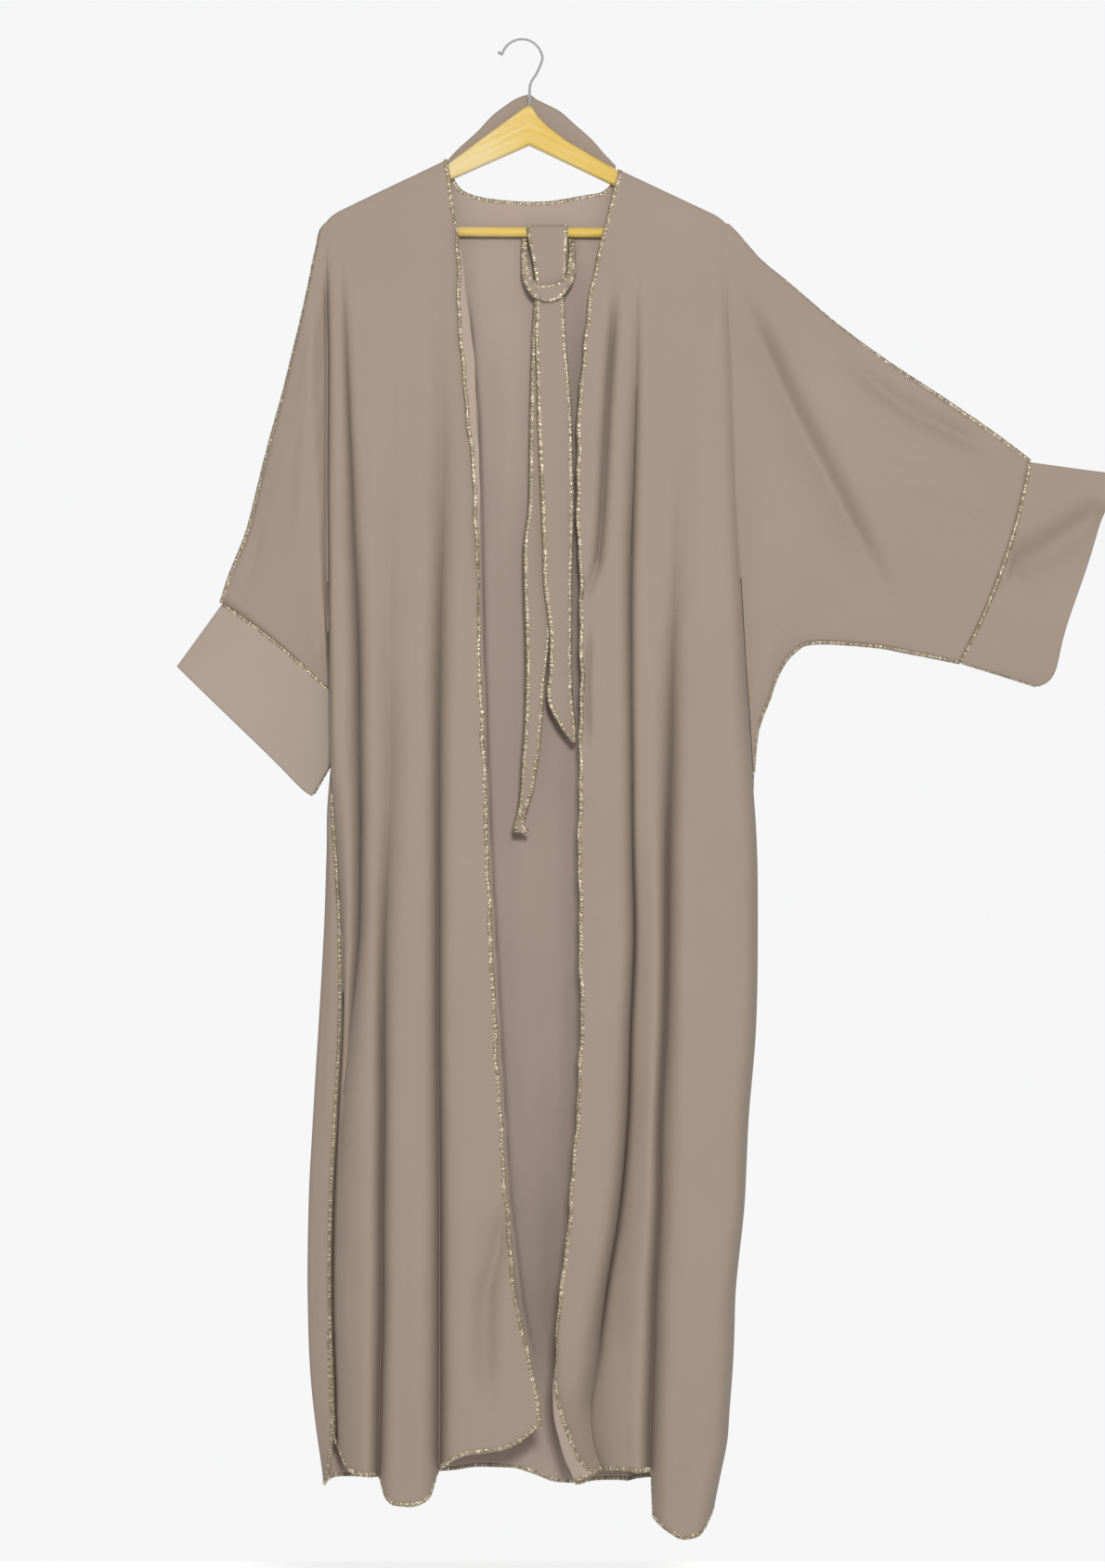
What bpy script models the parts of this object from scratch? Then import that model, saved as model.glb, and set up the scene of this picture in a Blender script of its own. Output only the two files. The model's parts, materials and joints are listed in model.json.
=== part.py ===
"""Open-front abaya cloak hanging on a wooden trouser hanger.

The cloak is cut the dolman way: the back and each front are one piece with their
half of the sleeve, a straight cuff closes each sleeve, and a loose belt hangs on
the hanger's bar.  Every cloth piece is a grid of stations: fold lines run down it,
a table says where each line lies and how deep it is, and Solidify gives the wall.

Lengths in the tables are millimetres.  x grows towards the wearer's left, drop is
the distance below the hook's resting point, and out is the distance in front of
the hanger's own plane.  The world takes metres, with the front facing -Y.
"""

import math

import bmesh
import bpy
import numpy as np

MM = 0.001
X, OUT, DROP = 0, 1, 2

# ---------------------------------------------------------------- driving sizes
WALL = 1.5  # cloth of the body, sleeves and belt
CUFF_WALL = 2.0  # cuff cloth, doubled
STRAP_WALL = 1.5
SEAM = 0.3  # between two pieces that are sewn together

SHOULDER_WRAP = 20.0  # drop below the ridge at which the cloth hangs free
ROWS_ABOVE = 9  # rows from the shoulder to the armpit
TUCK = 55.0  # drop from the armpit to the next row
ROWS_BELOW = 11  # rows from the armpit to the hem, that one included
ARMPIT_RIGHT, ARMPIT_LEFT = 738.0, 822.0
FOLD_WIDTH = 9.0  # half width of a fold's trough
FOLD_POWER = 1.6
CORNER_LIFT = 11.0  # how much higher a turned corner's tip ends than its fold

WOOD_THICK = 12.0
WOOD_ROUND = 2.5
WIRE_RADIUS = 1.5
HOOK_RADIUS = 22.8  # to the middle of the wire
BAR_RADIUS = 5.5

# Shares of the way between two fold lines at which a column of stations stands
SHARES = (0.0, 0.12, 0.3, 0.5, 0.7, 0.88)
SHARES_AFTER = {
    "neck_r": (0.0, 0.03, 0.07, 0.14, 0.3, 0.5, 0.7, 0.86, 0.93, 0.97),
    "f": (0.0, 0.05, 0.14, 0.3, 0.5, 0.7, 0.88),
}

# How a panel crosses the hanger's arm: (drop below the ridge, out), from its seam
FRONT_CROSSING = ((1.6, -6.6), (0.2, -4.3), (0.0, 0.0), (0.2, 4.3), (1.3, 6.6), (6.0, 8.2))
BACK_CROSSING = ((2.0, -7.25), (3.0, -8.85), (8.0, -9.4), (13.0, -9.6))
NECK_CROSSING = ((0.0, -9.0), (3.0, -9.0), (7.0, -9.1), (12.0, -9.4))

# Ridge of the cloth over the hanger's arms, neck to shoulder end: (x, drop)
RIDGE_RIGHT = ((-84, 134.5), (-195.2, 187.6), (-204, 192), (-212, 197.4), (-219, 205))
RIDGE_LEFT = ((107, 145), (205.2, 191.2), (212, 194.4), (220, 199.2), (227, 205.4))


def table(names, *rows):
    """The columns of a table by name.  The first column is the drop of each row."""
    return dict(zip(names.split(), np.array(rows, float).T))


# x of the lines down each front.  The free edge is a narrow flap that turns about
# the line "fold" by "turn" degrees, 0 flat and 180 folded back on the face.
FRONT_RIGHT = table(
    "drop  fold  turn  flap    a     b     c   side",
    (130, -90.0, 0, 2.0, -105, -142, -211, -219),
    (165, -85.0, 0, 2.0, -104, -142, -211, -219),
    (200, -80.0, 40, 2.0, -101, -142, -208, -219),
    (230, -70.0, 140, 5.0, -99, -142, -204, -218),
    (260, -66.0, 165, 6.0, -97, -142, -200, -217),
    (300, -61.0, 170, 10.0, -94, -142, -197, -217),
    (350, -55.0, 175, 13.0, -91, -142, -195, -216),
    (400, -51.0, 175, 12.0, -89, -142, -193, -216),
    (500, -45.0, 170, 7.0, -89, -143, -189, -216),
    (560, -43.5, 150, 5.0, -90, -145, -187, -215),
    (620, -49.5, 80, 3.0, -91, -147, -184, -215),
    (680, -52.0, 0, 2.0, -92, -148, -182, -214),
    (800, -46.0, 0, 2.0, -93, -146, -181, -212),
    (850, -45.0, 0, 2.0, -93, -147, -180, -209),
    (900, -43.0, 0, 2.0, -93, -149, -180, -204),
    (1000, -39.0, 0, 2.0, -93, -153, -182, -199),
    (1100, -34.0, 0, 2.0, -93, -154, -191, -199),
    (1200, -28.0, 0, 2.0, -92, -154, -197, -204),
    (1300, -21.0, 0, 2.0, -91, -155, -202, -209),
    (1400, -11.0, 0, 2.0, -91, -155, -203, -210),
    (1500, 12.0, 0, 2.0, -91, -157, -201, -207),
    (1620, 22.0, 0, 2.0, -92, -159, -199, -205),
)
FRONT_LEFT = table(
    "drop  fold  turn  flap    d     e     f   side",
    (140, 116.0, 0, 2.0, 121, 138, 192, 229),
    (165, 109.0, 0, 2.0, 117, 134, 190, 228),
    (200, 101.0, 0, 2.0, 112, 131, 189, 227),
    (230, 93.0, 0, 2.0, 107, 129, 188, 225),
    (260, 86.0, 0, 2.0, 105, 128, 187, 225),
    (300, 80.0, 0, 2.0, 103, 128, 186, 227),
    (350, 74.0, 0, 2.0, 99, 128, 185, 230),
    (400, 70.0, 0, 2.0, 95, 127, 183, 233),
    (500, 67.0, 0, 2.0, 89, 124, 176, 239),
    (600, 70.0, 0, 2.0, 82, 121, 172, 244),
    (700, 71.0, 0, 2.0, 79, 121, 167, 250),
    (800, 70.0, 0, 2.0, 80, 122, 165, 256),
    (900, 69.0, 0, 2.0, 80, 123, 162, 261),
    (1000, 70.0, 0, 2.0, 82, 125, 161, 262),
    (1100, 71.0, 0, 2.0, 82, 121, 159, 260),
    (1200, 66.0, 0, 2.0, 78, 118, 154, 252),
    (1300, 58.0, 0, 2.0, 70, 109, 152, 247),
    (1400, 47.0, 0, 2.0, 60, 93, 147, 237),
    (1440, 42.0, 60, 2.0, 56, 88, 146, 236),
    (1466, 39.5, 110, 3.0, 54, 85, 145, 235),
    (1496, 36.0, 150, 5.0, 52, 80, 144, 233),
    (1521, 37.0, 168, 9.0, 54, 77, 143, 231),
    (1561, 45.0, 175, 14.0, 60, 80, 142, 228),
    (1600, 60.0, 178, 20.0, 74, 92, 142, 220),
    (1650, 66.0, 178, 20.0, 80, 98, 142, 210),
)

# How far each front stands out, how deep its folds are, and where its side line lies
RIGHT_RELIEF = table(
    "drop  face   a    b    c   side",
    (130, 8.6, 0, 0, 0, 8.6),
    (200, 9.5, 0, 0, 0, 8.0),
    (260, 13, 0, 0, 2, 8.0),
    (300, 16, 2, 0, 4, 8.0),
    (400, 22, 5, 0, 10, 9.0),
    (500, 26, 8, 0, 14, 12.0),
    (600, 29, 12, 1.5, 17, 16.0),
    (700, 32, 16, 4, 20, 19.0),
    (800, 34, 18, 6, 22, 20.0),
    (850, 35, 19, 7, 23, 15.0),
    (900, 36, 20, 8, 25, 14.0),
    (1000, 39, 22, 13, 28, 14.0),
    (1100, 42, 24, 22, 22, 14.0),
    (1200, 44, 26, 28, 8, 14.0),
    (1300, 47, 28, 31, 0, 14.0),
    (1500, 51, 32, 36, 0, 14.0),
    (1650, 53, 34, 38, 0, 14.0),
)
LEFT_RELIEF = table(
    "drop  face   d    e    f   side",
    (130, 8.6, 0, 0, 0, 8.6),
    (200, 9.5, 0, 0, 0, 8.6),
    (260, 13, 0, 0, 0, 10.0),
    (300, 16, 3, 0, 0, 11.0),
    (400, 22, 8, 8, 1, 12.0),
    (500, 26, 11, 12, 4, 12.0),
    (600, 29, 10, 14, 7, 14.0),
    (700, 32, 4, 15, 13, 10.0),
    (760, 33, 0, 16, 17, 8.0),
    (822, 34, 0, 17, 21, 6.5),
    (900, 36, 0, 17, 27, 6.0),
    (1000, 39, 0, 19, 31, 6.0),
    (1100, 42, 0, 23, 34, 6.0),
    (1200, 44, 0, 28, 36, 6.0),
    (1300, 47, 0, 28, 39, 6.0),
    (1400, 49, 0, 28, 42, 6.0),
    (1500, 51, 0, 22, 44, 6.0),
    (1560, 52, 0, 10, 45, 6.0),
    (1650, 53, 0, 4, 46, 6.0),
)

# Hems: (x, drop)
RIGHT_HEM = (
    (-208, 1561),
    (-190, 1588),
    (-171, 1590),
    (-158, 1595),
    (-149, 1614),
    (-139, 1620),
    (-120, 1621),
    (-101, 1614),
    (-92, 1589),
    (-80, 1575),
    (-62, 1565),
    (-26, 1561),
    (-7, 1555),
    (11, 1543),
    (25, 1532),
)
LEFT_HEM = (
    (40, 1590),
    (60, 1600),
    (70, 1599),
    (82, 1592),
    (98, 1588),
    (117, 1586),
    (138, 1588),
    (143, 1592),
    (145, 1638),
    (150, 1642),
    (163, 1649),
    (183, 1657),
    (202, 1654),
    (211, 1647),
    (220, 1635),
)
BACK_HEM = (
    (-222, 1611),
    (-195, 1606),
    (-82, 1602),
    (-46, 1598),
    (-13, 1599),
    (11, 1605),
    (38, 1615),
    (59, 1616),
    (84, 1613),
    (145, 1609),
    (190, 1616),
    (220, 1626),
)

# Where a panel's last column lies.  Above the armpit it is the valley beside the
# sleeve, "front" and "back" being its out on each panel.  Below, the two panels meet
# there, each "apart" to its own side.
SEAM_RIGHT = table(
    "drop   x   front  back  apart",
    (130, -219, 8.6, -9.4, 0),
    (200, -220, 8.0, -9.6, 0),
    (300, -219, 7.0, -13, 0),
    (400, -219, 8.0, -16, 0),
    (500, -218.5, 10, -18, 0),
    (600, -217.5, 13, -19, 0),
    (680, -213, 12, -16, 0),
    (720, -201, 4, -5, 0),
    (738, -198, 0.95, -0.95, 0),
    (790, -199, 0.9, -0.9, 0),
    (815, -204, 5, 3.9, 0.3),
    (840, -210, 10.2, 9.6, 0.35),
    (870, -210.5, 10.2, 9.6, 0.35),
    (900, -208, 10.2, 9.6, 0.35),
    (1000, -203, 10.2, 9.6, 0.35),
    (1100, -203, 10.2, 9.6, 0.35),
    (1200, -208, 10.2, 9.6, 0.35),
    (1300, -213, 10.2, 9.6, 0.35),
    (1400, -214, 10.2, 9.4, 0.35),
    (1500, -211, 10.2, 8.4, 0.4),
    (1560, -209.5, 10.2, 7.4, 1.5),
    (1611, -210, 10.2, 5.0, 9),
)
SEAM_LEFT = table(
    "drop   x   front  back  apart",
    (130, 229, 8.6, -9.4, 0),
    (205, 230, 8.6, -9.6, 0),
    (300, 229.5, 10.5, -13, 0),
    (400, 235.5, 11.5, -16, 0),
    (500, 241.5, 11.5, -17, 0),
    (600, 246.5, 13, -17, 0),
    (700, 252.5, 10, -14, 0),
    (760, 256, 5.5, -8, 0),
    (822, 257, 0.95, -0.95, 0),
    (840, 256.5, -2, -2.8, 0.2),
    (870, 255.5, -8, -8.7, 0.2),
    (900, 254.5, -11.6, -12.3, 0.2),
    (1000, 254, -12, -12.7, 0.2),
    (1100, 252, -12, -12.7, 0.2),
    (1200, 244, -12, -12.7, 0.2),
    (1300, 239, -12, -12.7, 0.2),
    (1400, 229, -12, -12.7, 0.2),
    (1500, 225, -12, -12.7, 0.2),
    (1560, 220, -12, -12.7, 0.2),
    (1600, 213, -12, -12.7, 0.2),
    (1650, 206, -12, -12.7, 0.2),
)

# The back: x of its lines, how far behind the hanger it hangs and the depth of the
# hidden folds.
BACK = table(
    "drop    p     q   neck_r  neck_l   r     s",
    (130, -176, -122, -84, 107, 140, 190),
    (250, -174, -120, -83, 106, 138, 192),
    (500, -168, -112, -80, 104, 134, 196),
    (900, -158, -104, -74, 98, 130, 202),
    (1200, -160, -108, -72, 94, 124, 194),
    (1650, -168, -116, -70, 90, 118, 174),
)
BACK_RELIEF = table(
    "drop  face   p    q    r   s",
    (130, 9.2, 0, 0, 0, 0),
    (200, 10, 0, 0, 0, 0),
    (300, 15, 0, 0, 0, 0),
    (500, 22, 4, 2, 3, 3),
    (700, 27, 8, 5, 6, 8),
    (850, 30, 11, 7, 8, 10),
    (1000, 32, 13, 9, 10, 13),
    (1200, 34, 16, 11, 12, 16),
    (1400, 36, 18, 13, 14, 18),
    (1650, 36, 20, 15, 16, 20),
)
# The columns by which the back turns round each side, from the seam inwards
BACK_TURN_RIGHT = table(
    "drop    x1   out1    x2   out2    x3   out3",
    (130, -212, -9.6, -204, -9.6, -190, -9.6),
    (200, -213, -10.4, -205, -10.5, -190, -10.2),
    (300, -212, -14.5, -204, -15.5, -190, -15.5),
    (500, -211, -20.5, -203, -22, -190, -22),
    (680, -211, -22, -203, -25, -190, -26.5),
    (738, -211, -15, -207, -24, -192, -28),
    (790, -211, -14, -208, -24, -193, -29),
    (820, -214, -4, -210, -22, -195, -29),
    (850, -216, 2, -215, -18, -198, -30),
    (900, -215, 4, -217, -12, -202, -29),
    (1000, -214, 4, -221, -8, -207, -28),
    (1100, -217, 4, -227, -8, -212, -29),
    (1200, -222, 4, -233, -8, -217, -30),
    (1300, -227, 4, -238, -8, -222, -31),
    (1400, -228, 4, -239, -8, -223, -32),
    (1500, -225, 3, -235, -8, -221, -32),
    (1560, -221, 1, -228, -8, -215, -32),
    (1611, -221, -2, -220, -12, -208, -32),
)
BACK_TURN_LEFT = table(
    "drop    x1   out1    x2   out2    x3   out3",
    (130, 222, -9.6, 214, -9.6, 204, -9.6),
    (205, 223, -10.4, 215, -10.5, 205, -10.4),
    (300, 223, -14.5, 215, -15.5, 206, -15.5),
    (500, 234, -20, 226, -22.5, 214, -22.5),
    (600, 239, -20, 230, -24, 218, -25),
    (700, 244, -17, 234, -23, 220, -26.5),
    (760, 248, -12, 239, -20, 225, -26.5),
    (822, 250, -8, 242, -17, 228, -26),
    (900, 248, -20, 238, -27, 222, -31),
    (1000, 248, -20.5, 238, -28, 222, -32),
    (1200, 238, -20.5, 228, -28, 212, -33),
    (1400, 223, -21, 213, -29, 198, -35),
    (1500, 219, -21, 209, -29, 194, -35),
    (1650, 200, -21, 190, -29, 182, -35),
)
NECKLINE = (
    (-84.0, 136.9),
    (-80, 146),
    (-74, 157),
    (-68, 165),
    (-54, 171.5),
    (-38, 175),
    (-16, 177.5),
    (8, 179),
    (32, 178),
    (51, 175),
    (71, 171.5),
    (88, 168.5),
    (96, 163),
    (103, 154),
    (107.0, 147.4),
)

# Sleeve outlines: (x, drop) from the shoulder end or the armpit out to the cuff seam
TOP_RIGHT = (
    (-219, 205),
    (-222.2, 210),
    (-224.6, 219),
    (-226.3, 229),
    (-231, 250),
    (-238, 285),
    (-263, 389),
    (-279, 447),
    (-292, 499),
    (-305, 550),
    (-323, 595),
    (-334, 629),
)
UNDER_RIGHT = ((-198, 738), (-205, 736))
TOP_LEFT = (
    (227, 205.4),
    (236, 214.5),
    (247, 227.5),
    (265, 247.5),
    (297, 274),
    (350, 319),
    (407, 361),
    (468, 401),
    (529, 443),
    (566, 471),
)
UNDER_LEFT = (
    (257, 822),
    (260, 782),
    (265, 758),
    (274, 735),
    (282, 712),
    (292, 693),
    (305, 679),
    (318, 672),
    (345, 671),
    (396, 675),
    (434, 682),
    (489, 693),
)
RIGHT_STEPS = (0, 0.1, 0.24, 0.4, 0.56, 0.72, 0.87, 1)
LEFT_STEPS = (0, 0.08, 0.17, 0.26, 0.33, 0.4, 0.48, 0.6, 0.74, 0.88, 1)

# Cuffs: a row for each ring from the sleeve's seam to the outer edge, with its upper
# and lower corners, how far it bows between them, and half its opening
CUFF_RIGHT = table(
    "run  top_x  top_drop  low_x  low_drop  bow  half",
    (0.0, -334, 629, -205, 736, -5, 9),
    (0.6, -364, 670.5, -208, 797, -1, 9),
    (1.0, -384, 698, -234, 842, 0, 10),
)
CUFF_LEFT = table(
    "run  top_x  top_drop  low_x  low_drop  bow  half",
    (0.0, 566, 471, 489, 693, 8, 12),
    (0.6, 624, 479, 541, 709, 6, 14),
    (1.0, 663, 484, 575, 720, 3, 16),
)
CUFF_STEPS = 11  # stations along one side of a cuff
SLEEVE_LIP = 0.95  # half the distance between two halves at a sleeve seam
CUFF_LIP = 2.2
# Largest folds of the sleeves: (x, drop) at both ends, depth and half width
SLEEVE_FOLDS = ((238, 256, 392, 580, 7.0, 16.0), (440, 420, 545, 480, 3.0, 12.0))

# The belt hangs in a cow hitch: left and right edges and out for each drop
BELT_OVER = table(
    "drop left right out",
    (223, 6, 50, -7.5),
    (214, 6, 50, -7.5),
    (208.75, 6, 50, -5.3),
    (206.55, 6, 50, 0.0),
    (208.75, 6, 50, 5.3),
    (214, 6, 50, 7.5),
    (226, 8, 50, 7.5),
    (245, 12, 49, 7.8),
    (265, 15, 48, 8.2),
    (284, 17, 46, 8.6),
)
TAIL_SHORT = table(
    "drop left right out",
    (284.4, 17, 46, 9.6),
    (331, 15, 48, 11.0),
    (379, 17, 50, 12.0),
    (425, 18, 51, 12.5),
    (472, 20, 53, 13.0),
    (520, 22, 55, 14.0),
    (572, 24, 56, 15.0),
    (609, 25, 55, 15.5),
    (657, 31, 55, 16.0),
    (700, 31, 55, 16.5),
    (735, 29, 56, 16.0),
    (760, 40, 59, 15.5),
    (783, 56, 60, 15.0),
)
TAIL_LONG = table(
    "drop left right out",
    (284.4, 15, 45, 7.0),
    (331, 12, 45, 5.0),
    (401, 10, 44, 4.0),
    (460, 9, 43, 4.0),
    (519, 8, 42, 4.0),
    (560, 3, 37, 5.0),
    (608, 3, 34, 6.0),
    (671, 5, 30, 7.0),
    (718, 5, 25, 8.0),
    (760, 4, 22, 8.0),
    (800, 1, 18, 7.0),
    (835, -1, 12, 6.0),
    (862, -4, 4, 5.0),
    (880, -7, 2, 4.0),
)
# The bight: middle of the band (x, out, drop) and its height, from behind the bar on
# one side, forward under it, across the tails and back up on the other side
BIGHT = (
    (2.6, -7.6, 214, 6),
    (2.8, -5.0, 225, 6),
    (2.8, 0.0, 236, 6),
    (3.4, 5.0, 250, 7),
    (5.4, 9.8, 265, 9),
    (13.5, 13.4, 279, 13),
    (24.0, 14.2, 284, 18),
    (36.0, 14.2, 283, 18),
    (47.4, 13.6, 275, 12),
    (54.6, 9.4, 263, 9),
    (55.2, 5.0, 250, 7),
    (55.8, 0.0, 236, 6),
    (55.4, -5.0, 225, 6),
    (53.4, -7.6, 214, 6),
)

# The strap behind the wood: its upper edge (x, drop) and how far down it reaches
STRAP_TOP = (
    (-82.0, 130.5),
    (-71, 119),
    (-50, 100),
    (-34, 83),
    (-20, 72),
    (-6, 63),
    (8, 59),
    (16, 64),
    (26, 69),
    (43, 78),
    (60, 93),
    (78, 109),
    (92, 125),
    (104.5, 138.0),
)
STRAP_HEIGHT = 26.0
STRAP_END_HEIGHT = 8.0
STRAP_OUT = -7.2

# The wood from tip to tip: its upper and lower edge at each x.  The lug near each tip
# takes the end of the bar.
WOOD_EDGES = table(
    "x     top    under",
    (-219, 211, 219),
    (-216, 204.0, 223),
    (-211.5, 199.3, 223),
    (-204, 193.8, 223),
    (-199, 190.9, 223),
    (-196, 189.3, 219.5),
    (-195.2, 188.9, 205.5),
    (-112, 149.1, 169.4),
    (-85, 140.5, 158),
    (-61, 122.5, 147.5),
    (-40, 107, 138.2),
    (-18, 91, 128.5),
    (1, 77, 120.1),
    (5, 74.5, 118.3),
    (8, 74.0, 117),
    (11, 75.0, 118.4),
    (18, 86, 121.8),
    (29, 97, 127),
    (50, 113, 137.1),
    (73, 126.5, 148.1),
    (104, 144.7, 163),
    (107, 146.25, 164.3),
    (205.2, 192.8, 207.6),
    (206, 193.2, 222),
    (212, 196.3, 226),
    (220, 201.5, 226),
    (226, 207.5, 226),
    (229, 214, 222),
)
BAR_ENDS = ((-195.1, 212.6), (205.1, 215.2))  # faces of the lugs
HOOK_STEM = ((22.9, 20.2), (20.8, 27), (16, 37.5), (11.3, 44.7), (8.8, 51), (8.4, 60), (8, 73.6))
HOOK_TIP = (-24.6, 14.0)

CLOTH = (0.36, 0.30, 0.25)
WOOD = (0.80, 0.52, 0.16)
STEEL = (0.62, 0.62, 0.64)


# ---------------------------------------------------------------- small tools
def read(sheet, name, drop):
    """One column of a table at any drop, on a smooth curve through its rows."""
    knots, values = sheet["drop"], sheet[name]
    slopes = np.gradient(values, knots)
    k = np.clip(np.searchsorted(knots, drop) - 1, 0, len(knots) - 2)
    step = knots[k + 1] - knots[k]
    t = np.clip((drop - knots[k]) / step, 0.0, 1.0)
    ahead = (1 - t) ** 2 * ((1 + 2 * t) * values[k] + t * step * slopes[k])
    behind = t**2 * ((3 - 2 * t) * values[k + 1] + (t - 1) * step * slopes[k + 1])
    return ahead + behind


def level(points, x):
    """Drop at x on a line given as (x, drop) points."""
    xs, drops = zip(*points)
    return float(np.interp(x, xs, drops))


def along(points, shares):
    """Points (x, drop) at the given shares of a line's length."""
    line = np.array(points, float)
    run = np.concatenate([[0], np.cumsum(np.linalg.norm(np.diff(line, axis=0), axis=1))])
    at = np.asarray(shares) * run[-1]
    return np.stack([np.interp(at, run, line[:, 0]), np.interp(at, run, line[:, 1])], axis=1)


def trough(distance, width=FOLD_WIDTH, power=FOLD_POWER):
    """Depth of a fold beside its line, 1 on the line."""
    return math.exp(-((abs(distance) / width) ** power))


def material(name, colour, roughness, metallic=0.0):
    made = bpy.data.materials.new(name)
    made.use_nodes = True
    shader = made.node_tree.nodes["Principled BSDF"]
    shader.inputs["Base Color"].default_value = (*colour, 1)
    shader.inputs["Roughness"].default_value = roughness
    shader.inputs["Metallic"].default_value = metallic
    return made


def finish(obj, collection, surface):
    for owner in list(obj.users_collection):
        owner.objects.unlink(obj)
    collection.objects.link(obj)
    obj.data.materials.clear()
    obj.data.materials.append(surface)
    return obj


def cloth(name, patches, wall, collection, surface):
    """A cloth piece: grids of stations, joined where their edges meet, with a wall."""
    bm = bmesh.new()
    for patch in patches:
        rows, cols = patch.shape[:2]
        grid = bmesh.ops.create_grid(bm, x_segments=cols - 1, y_segments=rows - 1, size=0.5)
        for vert in grid["verts"]:
            col = round((vert.co.x + 0.5) * (cols - 1))
            row = round((vert.co.y + 0.5) * (rows - 1))
            x, out, drop = patch[row, col]
            vert.co = (x * MM, -out * MM, -drop * MM)
    bmesh.ops.remove_doubles(bm, verts=bm.verts, dist=0.02 * MM)
    bmesh.ops.recalc_face_normals(bm, faces=bm.faces)
    mesh = bpy.data.meshes.new(name)
    bm.to_mesh(mesh)
    bm.free()
    mesh.shade_smooth()
    obj = bpy.data.objects.new(name, mesh)
    solidify = obj.modifiers.new("Wall", "SOLIDIFY")
    solidify.thickness = wall * MM
    solidify.offset = 0.0
    return finish(obj, collection, surface)


# ---------------------------------------------------------------- panels
def stations(lines):
    """(line, next line, share of the way between them) for each column of a panel."""
    inner = []
    for near, far in zip(lines, lines[1:]):
        inner += [(near, far, share) for share in SHARES_AFTER.get(near, SHARES)]
    return [*inner, (lines[-2], lines[-1], 1.0)]


def across(sheet, station, drop):
    near, far, share = station
    return (1 - share) * read(sheet, near, drop) + share * read(sheet, far, drop)


def hang(top, armpit, hem):
    """Drops of the rows that hang free, from below the ridge to the hem."""
    above = np.linspace(top + SHOULDER_WRAP, armpit, ROWS_ABOVE + 1)
    below = np.linspace(armpit + TUCK, hem, ROWS_BELOW)
    return np.concatenate([above, below])


def crossing_point(place, line):
    """Where a column, whose x is place(drop), meets a line given as (x, drop) points."""
    drop = 150.0
    for _ in range(6):
        drop = level(line, place(drop))
    return place(drop), drop


def armpit_line(x):
    """Drop of the row that passes both armpits."""
    return float(np.interp(x, (-198, 257), (ARMPIT_RIGHT, ARMPIT_LEFT)))


def turned_edge(hinge, inward, turn, flap):
    """The three stations of a front's free edge, from its tip to its hinge."""
    step = 2.0
    points = [np.array(hinge)]
    for share, length in ((0.25, step), (0.75, step), (1.0, flap)):
        angle = math.radians(turn) * share
        move = (inward * length * math.cos(angle), length * math.sin(angle), 0.0)
        points.append(points[-1] + move)
    return points[:0:-1]


def front(sheet, relief, seam, folds, ridge, hem, inward):
    """Stations of a front from its free edge to its seam line, row by row."""
    columns = []
    for station in stations(("fold", *folds, "side")):
        x, top = crossing_point(lambda drop: across(sheet, station, drop), ridge)
        bottom = level(hem, across(sheet, station, 1600.0))
        column = [(x, out, top + extra) for extra, out in FRONT_CROSSING]
        for drop in hang(top, armpit_line(x), bottom):
            x = across(sheet, station, drop)
            face, side_x = read(relief, "face", drop), read(sheet, "side", drop)
            edge = trough(x - side_x, power=1.1)
            deep = sum(read(relief, n, drop) * trough(x - read(sheet, n, drop)) for n in folds)
            out = face - deep * (1 - edge) - (face - read(relief, "side", drop)) * edge
            column.append((x, out, drop))
        columns.append(column)
    columns.append(seam_column(seam, ridge, hem, FRONT_CROSSING, "front"))
    grid = np.array(columns).transpose(1, 0, 2)
    edges = []
    for number, row in enumerate(grid):
        drop = row[0, DROP]
        edge = turned_edge(row[0], inward, read(sheet, "turn", drop), read(sheet, "flap", drop))
        on_shoulder = max(0.0, 1 - (drop - grid[0, 0, DROP]) / 40)
        turned = read(sheet, "turn", drop) / 180
        for station, share in zip(edge, (1.0, 0.4, 0.1)):
            if number == len(grid) - 1:
                station[DROP] -= CORNER_LIFT * share * turned
            station[DROP] += on_shoulder * (level(ridge, station[X]) - level(ridge, row[0, X]))
        edges.append(edge)
    return np.concatenate([np.array(edges), grid], axis=1)


def seam_column(seam, ridge, hem, crossing, panel):
    """The last column of a panel, which its sleeve and then the other panel join."""
    x = read(seam, "x", 200.0)
    top, bottom = level(ridge, x), level(hem, read(seam, "x", 1600.0))
    column = [(x, out, top + extra) for extra, out in crossing]
    for drop in hang(top, armpit_line(x), bottom):
        apart = read(seam, "apart", drop) * (1 if panel == "front" else -1)
        column.append((read(seam, "x", drop) + apart, read(seam, panel, drop), drop))
    return column


def turn_column(turn, place, ridge, hem):
    """A column by which the back turns round a side, place 1 to 3 from the seam."""
    x = read(turn, "x" + place, 200.0)
    top, bottom = level(ridge, x), level(hem, read(turn, "x" + place, 1611.0))
    column = [(x, out, top + extra) for extra, out in BACK_CROSSING]
    for drop in hang(top, armpit_line(x), bottom):
        column.append((read(turn, "x" + place, drop), read(turn, "out" + place, drop), drop))
    return column


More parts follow.
